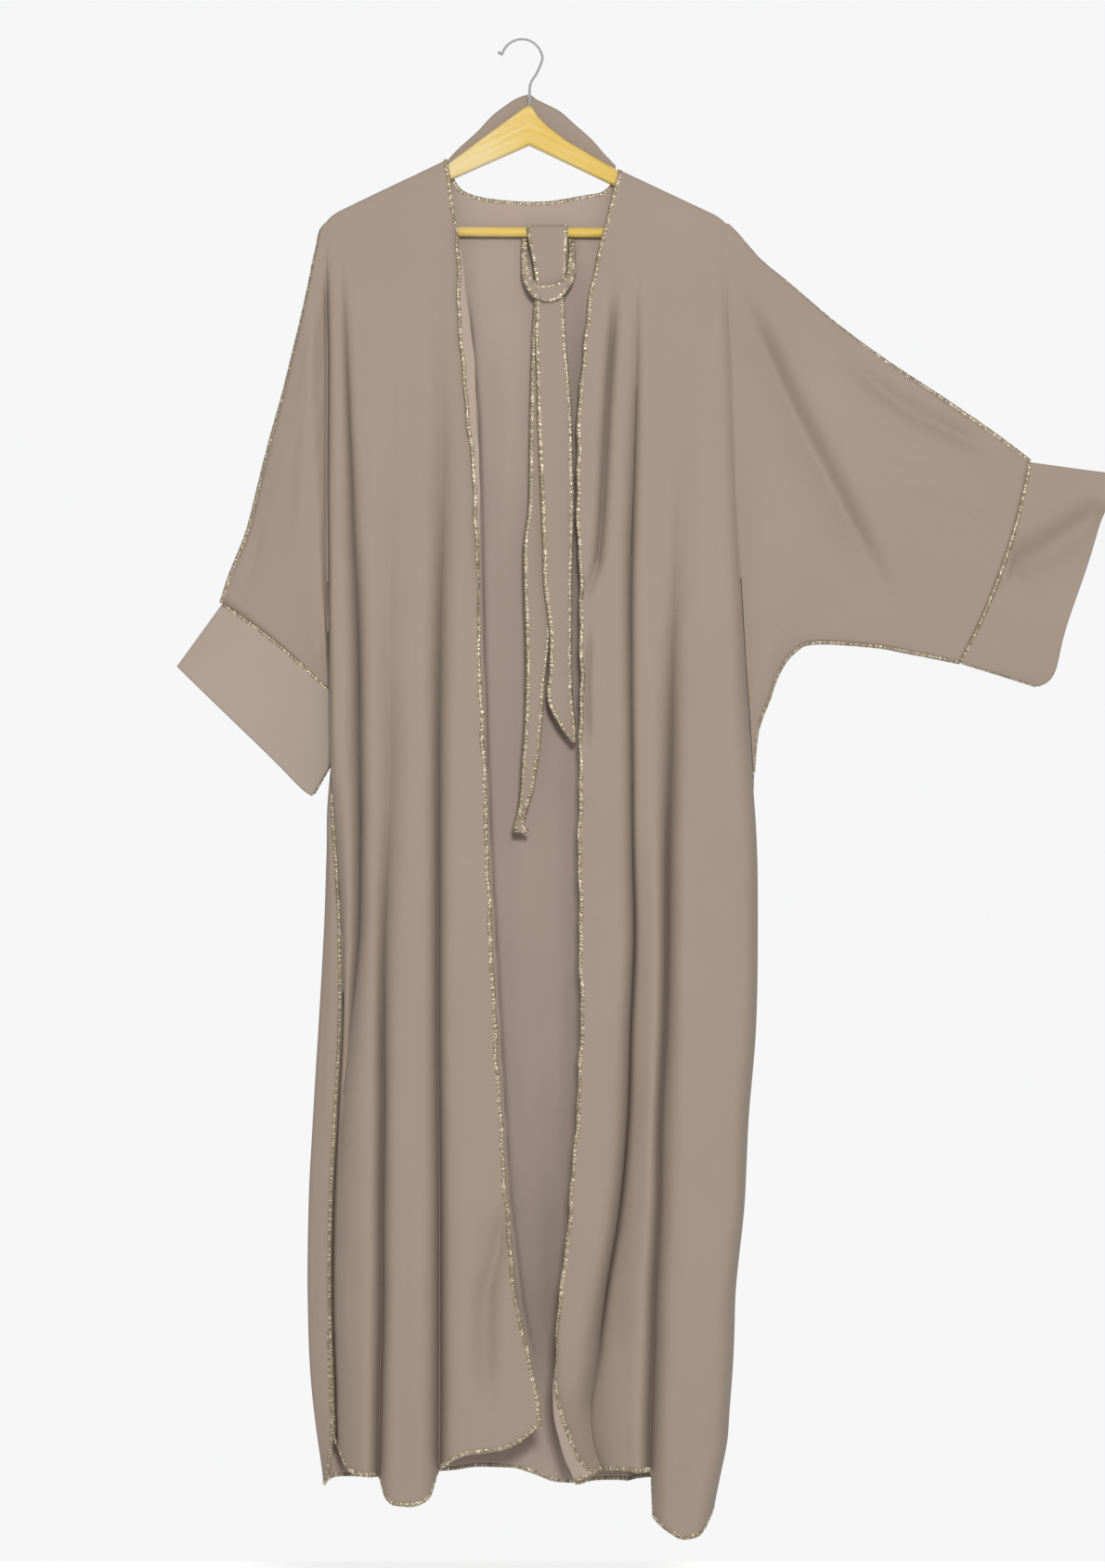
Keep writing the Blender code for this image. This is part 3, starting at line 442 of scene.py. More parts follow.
def cloth(name, grids, faces, thick=CREPE, closed=False, shown=outside):
    """A cloth object from grids of stations; its outside faces forwards (-1) or back (1)."""
    bm = bmesh.new()
    for grid in grids:
        verts = [[bm.verts.new(p) for p in row] for row in world(grid)]
        for row, below in zip(verts, verts[1:]):
            for a, b, c, d in zip(row, row[1:], below[1:], below):
                bm.faces.new((a, b, c, d))
    bmesh.ops.remove_doubles(bm, verts=bm.verts, dist=MERGED)
    bmesh.ops.dissolve_degenerate(bm, edges=bm.edges, dist=SPECK)
    bmesh.ops.recalc_face_normals(bm, faces=bm.faces)
    towards = sum(face.normal.y * face.calc_area() for face in bm.faces)
    if not closed and towards * faces < 0:
        bmesh.ops.reverse_faces(bm, faces=bm.faces)
    area = sum(face.calc_area() for face in bm.faces)
    mesh = bpy.data.meshes.new(name)
    bm.to_mesh(mesh)
    bm.free()
    obj = bpy.data.objects.new(name, mesh)
    bpy.context.scene.collection.objects.link(obj)
    for surface in (shown, inside):
        mesh.materials.append(surface)
    wall = obj.modifiers.new("two faces", "SOLIDIFY")
    wall.thickness, wall.offset = thick * MM, 0.0
    wall.material_offset = 1
    bpy.context.view_layer.objects.active = obj
    bpy.ops.object.modifier_apply(modifier=wall.name)
    obj.data.shade_smooth()
    print(f"{name}: {len(obj.data.polygons)} faces, {area:.3f} square metres of cloth")
    return obj


# %% Soft creases
PINCHED, SOFT_POWER = 1.15, 1.5  # how a fold's wall bends: 1 is a V, 2 a rounded hollow


def trough(distance, width, power=PINCHED):
    """Depth of a hanging fold beside its line, 1 on the line: nearly a V, as cloth pinches."""
    return np.exp(-((np.abs(distance) / width) ** power))


def fold(depth, width, *path, fade=0.25, lean=1.0):
    """A soft fold along (x, drop) points, with half its width; a negative depth is a ridge.

    It dies out over the fade, a share of its length, at both ends. A lean above 1 makes
    it wider on the low side of a path that runs down to larger x.
    """
    return depth, width, np.array(path, float), fade, lean


def crease(points, width, path, fade, lean):
    """How far a soft fold reaches each station, 0 to 1."""
    flat = points[..., [X, DROP]]
    ways, before = np.diff(path, axis=0), run_of(path)
    strongest = np.zeros(flat.shape[:-1])
    for start, way, run in zip(path, ways, before):
        length = np.linalg.norm(way)
        share = np.clip((flat - start) @ way / length**2, 0, 1)
        aside = flat - start - share[..., None] * way
        gap = np.linalg.norm(aside, axis=-1)
        gap = np.where(way[0] * aside[..., 1] > way[1] * aside[..., 0], gap / lean, gap)
        place = (run + share * length) / before[-1]
        ends = ease(np.minimum(place, 1 - place) / fade)
        strongest = np.maximum(strongest, trough(gap, width, SOFT_POWER) * ends)
    return strongest


def fold_in(grid, folds, sign=1):
    """Sinks each fold into a grid; the sign is -1 where the grid faces backwards."""
    for depth, *shape in folds:
        grid[..., OUT] -= sign * depth * crease(grid, *shape)
    return grid


# %% [markdown]
# ## The fronts
#
# Each front hangs from the hanger's arm in long folds that start as nothing at the
# shoulder and deepen to the hem. A table gives, for each drop, the x of every fold line
# and of the free edge; a second one says how deep each fold is there. The free edge turns
# back on the face by an angle the table also gives: it makes the narrow lapel at the
# neck on one side, and the turned lower corner on the other. Each table names its
# columns first: a letter is a fold line or its depth, and w before it is half its width.

# %% Lines down the fronts
FRONT_RIGHT = table(
    "drop fold a b c side turn flap",
    (130, -90, -105, -142, -211, -219, 0, 2),
    (165, -85, -104),
    (200, -80, -101, -142, -208, -219, 40),
    (230, -70, -99, -142, -204, -218, 140, 5),
    (260, -66, -97, -142, -200, -217, 165, 6),
    (300, -61, -94, -142, -197, -217, 170, 10),
    (350, -55, -91, -142, -195, -216, 175, 13),
    (400, -52, -89, -142, -193, -216, 175, 11),
    (500, -48, -89, -143, -189, -216, 170, 6),
    (560, -47.5, -90, -145, -187, -215, 150, 4),
    (620, -50.5, -91, -147, -184, -215, 80, 3),
    (680, -52, -92, -148, -182, -214, 0, 2),
    (800, -46, -93, -146, -181, -212),
    (850, -45, -93, -147, -180, -209),
    (900, -43, -93, -149, -180, -204),
    (1000, -39, -93, -153, -182, -199),
    (1100, -34, -93, -154, -191),
    (1200, -28, -92, -154, -200, -204),
    (1300, -21, -91, -155, -202, -209),
    (1400, -11, -91, -155, -203, -210),
    (1500, 12, -91, -157, -201, -207),
    (1620, 22, -92, -159, -199, -205),
)
FRONT_LEFT = table(
    "drop fold d e f side turn flap",
    (140, 116, 121, 138, 192, 229, 0, 2),
    (165, 109, 117, 134, 190, 228),
    (200, 101, 112, 131, 189, 227),
    (230, 93, 107, 129, 188, 225),
    (260, 86, 105, 128, 187, 224.5),
    (300, 80, 103, 128, 186, 226.5),
    (350, 74, 99, 128, 185, 229.5),
    (400, 70, 95, 127, 183, 232.5),
    (500, 67, 89, 124, 176, 236.5),
    (600, 70, 82, 121, 172, 241.5),
    (700, 71, 79, 121, 167, 247.5),
    (800, 70, 80, 122, 165, 254.5),
    (900, 69, 80, 123, 162, 261),
    (1000, 70, 82, 125, 161, 262),
    (1100, 71, 82, 121, 159, 260),
    (1200, 66, 78, 118, 154, 252),
    (1300, 58, 70, 109, 152, 247),
    (1400, 47, 60, 93, 147, 237),
    (1440, 42, 56, 88, 146, 236, 60),
    (1466, 39.5, 54, 85, 145, 235, 110, 3),
    (1496, 36, 52, 80, 144, 233, 150, 5),
    (1521, 37, 54, 77, 143, 231, 168, 9),
    (1561, 45, 60, 80, 142, 228, 175, 14),
    (1600, 60, 74, 92, 142, 220, 178, 20),
    (1650, 66, 80, 98, 142, 210),
)

# %% How far the fronts stand out and how deep their folds are
RIGHT_RELIEF = table(
    "drop face a b c side wa wb wc ws cb wcb",
    (130, 8.6, 0, 0, 0, 8.6, 14, 20, 5, 7, 0, 40),
    (200, 9.5, 0, 0, 0, 8),
    (260, 13, 1, 0, 3, 9),
    (300, 16, 3, 0, 8, 11, 14, 20, 5, 6),
    (400, 22, 10, 3, 16, 15, 14, 20, 4.5),
    (500, 26, 16, 6, 20, 19, 12, 20, 5.5),
    (600, 29, 22, 10, 24, 23, 9, 20, 6.5),
    (700, 32, 27, 15, 28, 24, 8, 18),
    (800, 34, 30, 19, 30, 22, 7, 15, 7.5, 7),
    (850, 35, 31, 19, 31, 15, 7, 14, 7, 7, 2),
    (900, 36, 32, 22, 33, 14, 6.5, 12, 7.5, 7, 5),
    (1000, 39, 33, 29, 41, 10, 6.5, 9, 10, 7, 11),
    (1100, 42, 34, 34, 42, 6, 6.5, 7.5, 10, 8, 15),
    (1200, 44, 35, 36, 24, 3, 6.5, 7, 10, 13),
    (1300, 47, 36, 37, 10, 3, 6.5, 7, 9),
    (1400, 49, 37, 38, 8),
    (1500, 51, 38, 38, 8, 3, 7, 7, 9, 13, 14),
    (1650, 53),
)
LEFT_RELIEF = table(
    "drop face e f ef side we wf ws wef",
    (130, 8.6, 0, 0, 0, 8.6, 9, 18, 7, 6),
    (200, 9.5),
    (260, 13, 1, 0, 0, 10),
    (300, 16, 5, 0, 0, 11.5),
    (400, 22, 13, 2, 0, 12.5, 8, 18, 7.5),
    (500, 26, 18, 7, 0, 13.5, 8, 15, 8),
    (600, 29, 21, 13, 0, 14, 7, 11),
    (700, 32, 19.5, 22, 0, 12, 6.5, 9),
    (760, 33, 20, 27, 2, 10, 6.5, 8.5, 7.5),
    (822, 34, 22, 31, 5, 7.5, 6.5, 8.5, 7),
    (900, 36, 24, 36, 11, 6, 6.5, 7.5),
    (1000, 39, 30, 38, 18, 6, 7),
    (1100, 42, 32, 38, 23, 6, 7.5, 8),
    (1200, 44, 33, 39, 27, 6, 8, 8.5),
    (1300, 47, 34, 40, 29, 6, 8, 9),
    (1400, 49, 32, 40, 30, 6, 8.5, 9, 7, 8),
    (1500, 51, 22, 41, 32, 6, 14, 9, 7, 18),
    (1560, 52, 16, 41, 34, 6, 18, 9, 7, 36),
    (1650, 53, 10),
)

# %% Hems, and the side lines where a front meets its sleeve and then the back
RIGHT_HEM = (
    (-208, 1561), (-190, 1588), (-171, 1590), (-158, 1595), (-149, 1614), (-139, 1620),
    (-120, 1621), (-101, 1614), (-92, 1589), (-80, 1575), (-62, 1565), (-26, 1561), (-7, 1555),
    (11, 1543), (25, 1532),
)
LEFT_HEM = (
    (40, 1590), (60, 1600), (70, 1599), (82, 1592), (98, 1588), (117, 1586), (138, 1588),
    (143, 1592), (145, 1638), (150, 1642), (163, 1649), (183, 1657), (202, 1654), (211, 1647),
    (220, 1635),
)

SEAM_RIGHT = table(
    "drop x front back apart",
    (130, -219, 8.6, -9.4, 0),
    (200, -220, 8, -9.6),
    (300, -219, 9.5, -13),
    (400, -219, 13, -16),
    (500, -218.5, 17, -18),
    (600, -217.5, 20, -19),
    (680, -213, 16, -16),
    (720, -201, 4, -5),
    (738, -198, 0.95, -0.95),
    (790, -199, 0.9, -0.9),
    (815, -204, 5, 3.9, 0.3),
    (840, -210, 10.2, 9.6, 0.35),
    (870, -210.5),
    (900, -208),
    (1000, -203),
    (1100, -203),
    (1200, -208),
    (1300, -213),
    (1400, -214, 10.2, 9.4),
    (1500, -211, 10.2, 8.4, 0.4),
    (1560, -209.5, 10.2, 7.4, 1.5),
    (1611, -210, 10.2, 5, 9),
)
SEAM_LEFT = table(
    "drop x front back apart",
    (130, 229, 8.6, -9.4, 0),
    (205, 230, 8.6, -9.6),
    (300, 228.5, 10.5, -13),
    (400, 234.5, 11.5, -16),
    (500, 238.5, 12, -17),
    (600, 243.5),
    (700, 249.5, 10, -14),
    (760, 254, 6.5, -8),
    (822, 257, 0.95, -0.95),
    (840, 256.5, -2, -2.8, 0.2),
    (870, 255.5, -8, -8.7),
    (900, 254.5, -11.6, -12.3),
    (1000, 254, -12, -12.7),
    (1100, 252),
    (1200, 244),
    (1300, 239),
    (1400, 229),
    (1500, 225),
    (1560, 220),
    (1600, 213),
    (1650, 206),
)

# %% Crossing the shoulder
# The ridge of the cloth over the hanger's arms, neck to shoulder end: (x, drop)
RIDGE_RIGHT = ((-84, 134.5), (-195.2, 187.6), (-204, 192), (-212, 197.4), (-219, 205))
RIDGE_LEFT = ((107, 145), (205.2, 191.2), (212, 194.4), (220, 199.2), (227, 205.4))
# How a panel crosses the arm, from its shoulder seam: (drop below the ridge, out)
FRONT_CROSSING = ((1.6, -6.6), (0.2, -4.3), (0.0, 0.0), (0.2, 4.3), (1.3, 6.6), (6.0, 8.2))
BACK_CROSSING = ((2.0, -7.25), (3.0, -8.85), (8.0, -9.4), (13.0, -9.6))
NECK_CROSSING = ((0.0, -9.0), (3.0, -9.0), (7.0, -9.1), (12.0, -9.4))
CROSSING_STEPS = 14
SHOULDER_WRAP = 20.0  # drop below the ridge at which the cloth hangs free
ARMPITS = ((-198, 738.0), (257, 822.0))
ROWS_ABOVE, ROWS_BELOW = 70, 112  # above and below the armpit
COLUMN_STEP, CROWDING = 2.4, 0.11
AT_NECK, AT_SHOULDER, AT_HEM = 150.0, 200.0, 1600.0  # drops at which a column is placed


def crossing(x, top, profile):
    """The stations of one column over the hanger's arm."""
    return [(x, out, top + extra) for extra, out in smooth(profile, CROSSING_STEPS)]


def hang(top, x, hem):
    """Drops of the rows that hang free, from below the ridge to the hem."""
    armpit = np.interp(x, *np.array(ARMPITS).T)
    above = np.linspace(top + SHOULDER_WRAP, armpit, ROWS_ABOVE + 1)
    return np.concatenate([above, np.linspace(armpit, hem, ROWS_BELOW + 1)[1:]])


def stations(lines, widths):
    """(line, next line, share between them) for each column, crowding to the lines."""
    inner = []
    for near, far, width in zip(lines, lines[1:], widths):
        steps = round(width / COLUMN_STEP)
        shares = np.arange(steps) / steps
        inner += [(near, far, t - CROWDING * math.sin(2 * math.pi * t)) for t in shares]
    return [*inner, (lines[-2], lines[-1], 1.0)]


def across(sheet, station, drop):
    near, far, share = station
    return (1 - share) * read(sheet, near, drop) + share * read(sheet, far, drop)


def crossing_point(place, line):
    """Where a column, whose x is place(drop), meets a line given as (x, drop) points."""
    drop = AT_NECK
    for _ in range(6):
        drop = level(line, place(drop))
    return float(place(drop)), drop


# %% A front as a grid of stations
CORNER_LIFT, CORNER_ROWS = 11.0, 4  # how much higher a turned corner's tip ends than its fold
EDGE_ARC, EDGE_STEPS = 4.0, 5
SHOULDER_FADE = 40  # drop over which the edge stops following the arm's slope


def turned_edge(hinge, inward, turn, flap):
    """The stations of a front's free edge, from its tip to the line it turns about."""
    points = [np.array(hinge, float)]
    arc = [((k + 0.5) / EDGE_STEPS, EDGE_ARC / EDGE_STEPS) for k in range(EDGE_STEPS)]
    for share, length in arc + [(1.0, flap / EDGE_STEPS)] * EDGE_STEPS:
        angle = math.radians(turn) * share
        move = (inward * length * math.cos(angle), length * math.sin(angle), 0.0)
        points.append(points[-1] + move)
    return points[:0:-1]


def seam_column(seam, ridge, hem, profile, panel):
    """The last column of a panel, which its sleeve and then the other panel join."""
    x = float(read(seam, "x", AT_SHOULDER))
    drops = hang(level(ridge, x), x, level(hem, float(read(seam, "x", AT_HEM))))
    apart = read(seam, "apart", drops) * (1 if panel == "front" else -1)
    free = np.stack([read(seam, "x", drops) + apart, read(seam, panel, drops), drops], axis=1)
    return np.concatenate([crossing(x, level(ridge, x), profile), free])


SHALLOWER = 0.8  # the tables' depths are those of the pinched line; the cloth bridges it
STEEP = {"e": 0.45}  # folds whose wall on the larger-x side is steeper, by this share
SIDE_POWER = 1.1


def sunk(sheet, relief, names, xs, drops):
    """How deep a front lies below its face. Two letters are a slope, low at the first."""
    total = 0.0
    for name in names:
        depth, wide = read(relief, name, drops), read(relief, "w" + name, drops)
        low, high = (read(sheet, name[k], drops) for k in (0, -1))
        if len(name) == 1:
            wide = wide * np.where(xs > low, STEEP.get(name, 1.0), 1.0)
            total = total + SHALLOWER * depth * trough(xs - low, wide)
        else:
            share = np.clip((xs - high) / (low - high), 0, 1)
            past = np.clip((xs - low) * np.sign(low - high), 0, None)
            total = np.hypot(total, depth * share * trough(past, wide))
    return total


def front(sheet, relief, seam, folds, sinks, ridge, hem, inward, widths):
    """Stations of a front from its free edge to its seam line, row by row."""
    columns = []
    for station in stations(("fold", *folds, "side"), widths):
        x, top = crossing_point(lambda drop: across(sheet, station, drop), ridge)
        drops = hang(top, x, level(hem, across(sheet, station, AT_HEM)))
        xs = across(sheet, station, drops)
        face, beside = read(relief, "face", drops), xs - read(sheet, "side", drops)
        edge = trough(beside, read(relief, "ws", drops), SIDE_POWER)
        deep = sunk(sheet, relief, sinks, xs, drops)
        out = face - deep * (1 - edge) - (face - read(relief, "side", drops)) * edge
        free = np.stack([xs, out, drops], axis=1)
        columns.append(np.concatenate([crossing(x, top, FRONT_CROSSING), free]))
    columns.append(seam_column(seam, ridge, hem, FRONT_CROSSING, "front"))
    grid = np.array(columns).transpose(1, 0, 2)
    return np.concatenate([edge_stations(grid, sheet, ridge, inward), grid], axis=1)


def edge_stations(grid, sheet, ridge, inward):
    """The narrow free edge of a front beside each row of its grid."""
    edges = []
    for number, row in enumerate(grid):
        drop = row[0, DROP]
        turn = float(read(sheet, "turn", drop))
        edge = turned_edge(row[0], inward, turn, float(read(sheet, "flap", drop)))
        on_shoulder = max(0.0, 1 - (drop - grid[0, 0, DROP]) / SHOULDER_FADE)
        low = max(0.0, 1 - (len(grid) - 1 - number) / CORNER_ROWS)
        for station, share in zip(edge, np.linspace(1, 0, len(edge), endpoint=False)):
            station[DROP] -= CORNER_LIFT * share**1.5 * turn / 180 * low
            slope = level(ridge, station[X]) - level(ridge, row[0, X])
            station[DROP] += on_shoulder * slope
        edges.append(edge)
    return np.array(edges)


# %% Soft folds that cross the fronts
SLEEVE_LINE = (
    (-217.5, 235), (-217, 300), (-216, 360), (-216, 500), (-215, 580), (-214, 680), (-211, 830),
)
RIGHT_FOLDS = (
    fold(10.0, 2.4, *SLEEVE_LINE, fade=0.12),  # first, because the sleeve shares it
    fold(2.4, 3.5, (-64, 722), (-47, 733)),
    fold(2.0, 3.5, (-58, 760), (-44, 790)),
    fold(1.6, 4.5, (-66, 1020), (-44, 1008)),
    fold(13.0, 11.0, (-19, 1270), (-27, 1345), (-38, 1387), (-41, 1442), (-38, 1530)),
    fold(2.0, 6.0, (-186, 998), (-200, 1020)),
    fold(0.8, 4.0, (-112, 152), (-124, 160)),
)
EDGE_PULL_LEFT = ((106, 250), (99, 350), (94.5, 420), (91, 490), (88, 544), (84, 585), (70, 622))
LEFT_FOLDS = (
    fold(13.0, 5.0, *EDGE_PULL_LEFT, (50, 660)),
    fold(5.0, 4.0, (76, 640), (73, 720), (74, 800)),
    fold(1.8, 4.0, (64, 846), (80, 872)),
    fold(1.8, 4.5, (66, 902), (90, 930)),
    fold(1.6, 4.0, (66, 968), (84, 990)),
    fold(1.4, 4.0, (68, 1052), (92, 1066)),
)
right = front(
    FRONT_RIGHT,
    RIGHT_RELIEF,
    SEAM_RIGHT,
    ("a", "b", "c"),
    ("a", "b", "c", "cb"),
    RIDGE_RIGHT[::-1],
    RIGHT_HEM,
    1,
    (48, 56, 40, 50),
)
left = front(
    FRONT_LEFT,
    LEFT_RELIEF,
    SEAM_LEFT,
    ("d", "e", "f"),
    ("e", "f", "ef"),
    RIDGE_LEFT,
    LEFT_HEM,
    -1,
    (58, 72, 60, 92),
)
for grid, folds in ((right, RIGHT_FOLDS), (left, LEFT_FOLDS)):
    stir(ripple(fold_in(grid, folds)))
print("stations in the fronts:", right.shape[:2], left.shape[:2])

# %% [markdown]
# ## The back
#
# The back hangs behind the hanger's plane, plain where it shows between the fronts and
# with hidden folds like the fronts' towards its sides, where it turns forward to meet
# them. Its neck edge is a shallow scoop below the hanger's arms.

# %% The back's lines, folds and sides
BACK_HEM = (
    (-222, 1611), (-195, 1606), (-82, 1602), (-46, 1598), (-13, 1599), (11, 1605), (38, 1615),
    (59, 1616), (84, 1613), (145, 1609), (190, 1616), (220, 1626),
)

BACK = table(
    "drop p q neck_r neck_l r s",
    (130, -176, -122, -84, 107, 140, 190),
    (250, -174, -120, -83, 106, 138, 192),
    (500, -168, -112, -80, 104, 134, 196),
    (900, -158, -104, -74, 98, 130, 202),
    (1200, -160, -108, -72, 94, 124, 194),
    (1650, -168, -116, -70, 90, 118, 174),
)
BACK_RELIEF = table(
    "drop face p q r s",
    (130, 9.2, 0, 0, 0, 0),
    (200, 10),
    (300, 15),
    (500, 22, 4, 2, 3, 3),
    (700, 27, 8, 5, 6, 8),
    (850, 30, 11, 7, 8, 10),
    (1000, 32, 13, 9, 10, 13),
    (1200, 34, 16, 11, 12, 16),
    (1400, 36, 18, 13, 14, 18),
    (1650, 36, 20, 15, 16, 20),
)

# The columns by which the back turns round each side, from the seam inwards
BACK_TURN_RIGHT = table(
    "drop x1 out1 x2 out2 x3 out3",
    (130, -212, -9.6, -204, -9.6, -190, -9.6),
    (200, -213, -10.4, -205, -10.5, -190, -10.2),
    (300, -212, -14.5, -204, -15.5, -190, -15.5),
    (500, -211, -20.5, -203, -22, -190, -22),
    (680, -211, -22, -203, -25, -190, -26.5),
    (738, -211, -15, -207, -24, -192, -28),
    (790, -211, -14, -208, -24, -193, -29),
    (820, -214, -4, -210, -22, -195),
    (850, -216, 2, -215, -18, -198, -30),
    (900, -215, 4, -217, -12, -202, -29),
    (1000, -214, 4, -221, -8, -207, -28),
    (1100, -217, 4, -227, -8, -212, -29),
    (1200, -222, 4, -233, -8, -217, -30),
    (1300, -227, 4, -238, -8, -222, -31),
    (1400, -228, 4, -239, -8, -223, -32),
    (1500, -225, 3, -235, -8, -221),
    (1560, -221, 1, -228, -8, -215),
    (1611, -221, -2, -220, -12, -208),
)
BACK_TURN_LEFT = table(
    "drop x1 out1 x2 out2 x3 out3",
    (130, 222, -9.6, 214, -9.6, 204, -9.6),
    (205, 223, -10.4, 215, -10.5, 205, -10.4),
    (300, 223, -14.5, 215, -15.5, 206, -15.5),
    (500, 231, -20, 223, -22.5, 212, -22.5),
    (600, 235, -20, 226, -24, 215, -25),
    (700, 241, -17, 231, -23, 218, -26.5),
    (760, 248, -12, 239, -20, 225),
    (822, 250, -8, 242, -17, 228, -26),
    (900, 248, -20, 238, -27, 222, -31),
    (1000, 248, -20.5, 238, -28, 222, -32),
    (1200, 238, -20.5, 228, -28, 212, -33),
    (1400, 223, -21, 213, -29, 198, -35),
    (1500, 219, -21, 209, -29, 194),
    (1650, 200, -21, 190, -29, 182),
)

NECKLINE = (
    (-84, 136.9), (-80, 146), (-74, 157), (-68, 165), (-54, 171.5), (-38, 175), (-16, 177.5),
    (8, 179), (32, 178), (51, 175), (71, 171.5), (88, 168.5), (96, 163), (103, 154),
    (107, 147.4),
)


# %% The back as a grid of stations
BACK_LINES = ("p", "q", "neck_r", "neck_l", "r", "s")
BACK_WIDTHS = (38, 26, 184, 22, 38)
NECK_ENDS = RIDGE_RIGHT[0][0], RIDGE_LEFT[0][0]
BACK_FOLD_WIDE = 14.0
SIDE_FOOT = 1611.0  # drop of the back's lowest side row
TURN_STEPS = 8  # columns between two of the turning lines


def back_top(x):
    """Drop of the back's top edge and how it starts there."""
    if NECK_ENDS[0] < x < NECK_ENDS[1]:
        return level(NECKLINE, x), NECK_CROSSING
    ridge = RIDGE_RIGHT if x < 0 else RIDGE_LEFT
    return level(ridge, x), BACK_CROSSING


def hanging_column(station):
    x = float(across(BACK, station, AT_NECK))
    top, profile = back_top(x)
    drops = hang(top, x, level(BACK_HEM, float(across(BACK, station, AT_HEM))))
    xs = across(BACK, station, drops)
    folds = ("p", "q", "r", "s")
    away = [(read(BACK_RELIEF, name, drops), xs - read(BACK, name, drops)) for name in folds]
    deep = sum(depth * trough(distance, BACK_FOLD_WIDE) for depth, distance in away)
    free = np.stack([xs, deep - read(BACK_RELIEF, "face", drops), drops], axis=1)
    return np.concatenate([crossing(x, top, profile), free])


def turning_columns(turn, seam, ridge, outer):
    """Columns round one side of the back, from the seam to its first hanging column."""
    keys = [seam_column(seam, ridge, BACK_HEM, BACK_CROSSING, "back")]
    for place in "123":
        x = float(read(turn, "x" + place, AT_SHOULDER))
        foot = level(BACK_HEM, float(read(turn, "x" + place, SIDE_FOOT)))
        drops = hang(level(ridge, x), x, foot)
        spots = (read(turn, "x" + place, drops), read(turn, "out" + place, drops), drops)
        over = crossing(x, level(ridge, x), BACK_CROSSING)
        keys.append(np.concatenate([over, np.stack(spots, axis=1)]))
    keys.append(outer)
    return smooth(keys, TURN_STEPS * (len(keys) - 1) + 1)[:-1]


hanging = [hanging_column(station) for station in stations(BACK_LINES, BACK_WIDTHS)]
round_right = turning_columns(BACK_TURN_RIGHT, SEAM_RIGHT, RIDGE_RIGHT, hanging[0])
round_left = turning_columns(BACK_TURN_LEFT, SEAM_LEFT, RIDGE_LEFT, hanging[-1])
behind = np.array([*round_right, *hanging, *round_left[::-1]]).transpose(1, 0, 2)
RIGHT_EDGE = (
    (-62, 270), (-61, 296), (-50.5, 420), (-47.5, 544), (-45, 668), (-41, 793), (-36, 917),
    (-29.5, 1041), (-23, 1165), (-16, 1290), (-1.6, 1414), (18, 1510),
)
UNDER_LEFT_EDGE = (
    (100, 215), (86, 300), (72, 420), (70, 560), (72, 800), (70, 1100), (52, 1330), (40, 1500),
)
BEHIND_BELT = ((26, 230), (30, 420), (32, 640), (30, 900))
BACK_FOLDS = (
    fold(9.0, 2.3, *RIGHT_EDGE, fade=0.06),
    fold(-24.0, 20.0, *UNDER_LEFT_EDGE, fade=0.08),
    fold(-7.0, 26.0, *BEHIND_BELT),
)
stir(fold_in(behind, BACK_FOLDS))
print("stations in the back:", behind.shape[:2])

# %% [markdown]
# ## The sleeves
#
# Each half of a sleeve grows out of its panel: there is no armhole seam. It is a patch
# stretched between four lines, the panel's side, the seam on top, the seam underneath
# and the cuff's seam, with a slow crown so that it stands off its other half. One sleeve
# hangs down beside the body, and the other is held out to its side.

# %% Sleeve outlines and cuffs
TOP_RIGHT = (
    (-219, 205), (-222.2, 210), (-224.6, 219), (-226.3, 229), (-231, 250), (-238, 285),
    (-263, 389), (-279, 447), (-292, 499), (-305, 550), (-323, 595), (-334, 629),
)
UNDER_RIGHT = ((-198, 738), (-205, 736))
TOP_LEFT = (
    (227, 205.4), (236, 214.5), (247, 227.5), (265, 247.5), (297, 274), (350, 319), (407, 361),
    (468, 401), (529, 443), (566, 471),
)
UNDER_LEFT = (
    (257, 822), (260, 782), (265, 758), (274, 735), (282, 712), (292, 693), (305, 679),
    (318, 672), (345, 671), (396, 675), (434, 682), (489, 693),
)

CUFF_RIGHT = table(
    "run top_x top_drop low_x low_drop bow corner half",
    (0, -334, 629, -205, 736, -5, 0, 9),
    (0.6, -364, 670.5, -208, 797, -1),
    (1, -384, 698, -234, 842, 0, 2, 10),
)
CUFF_LEFT = table(
    "run top_x top_drop low_x low_drop bow corner half",
    (0, 566, 471, 489, 693, 8, 0, 12),
    (0.6, 624, 479, 541, 709, 6, 3, 14),
    (1, 663, 484, 575, 720, 3, 10, 16),
)

SLEEVE_LIP, CUFF_LIP = 0.95, 2.2  # half the distance between two halves at their seam
SEAM_FADE = 0.25  # share of a sleeve's seam over which it leaves its panel's edge
RING_POWER, CROWN_POWER = 0.7, 0.6  # how flat a flattened ring and a sleeve's crown are
CORNER_REACH, CORNER_POWER = 34, 12  # how far and how late a cuff's corner rounds off


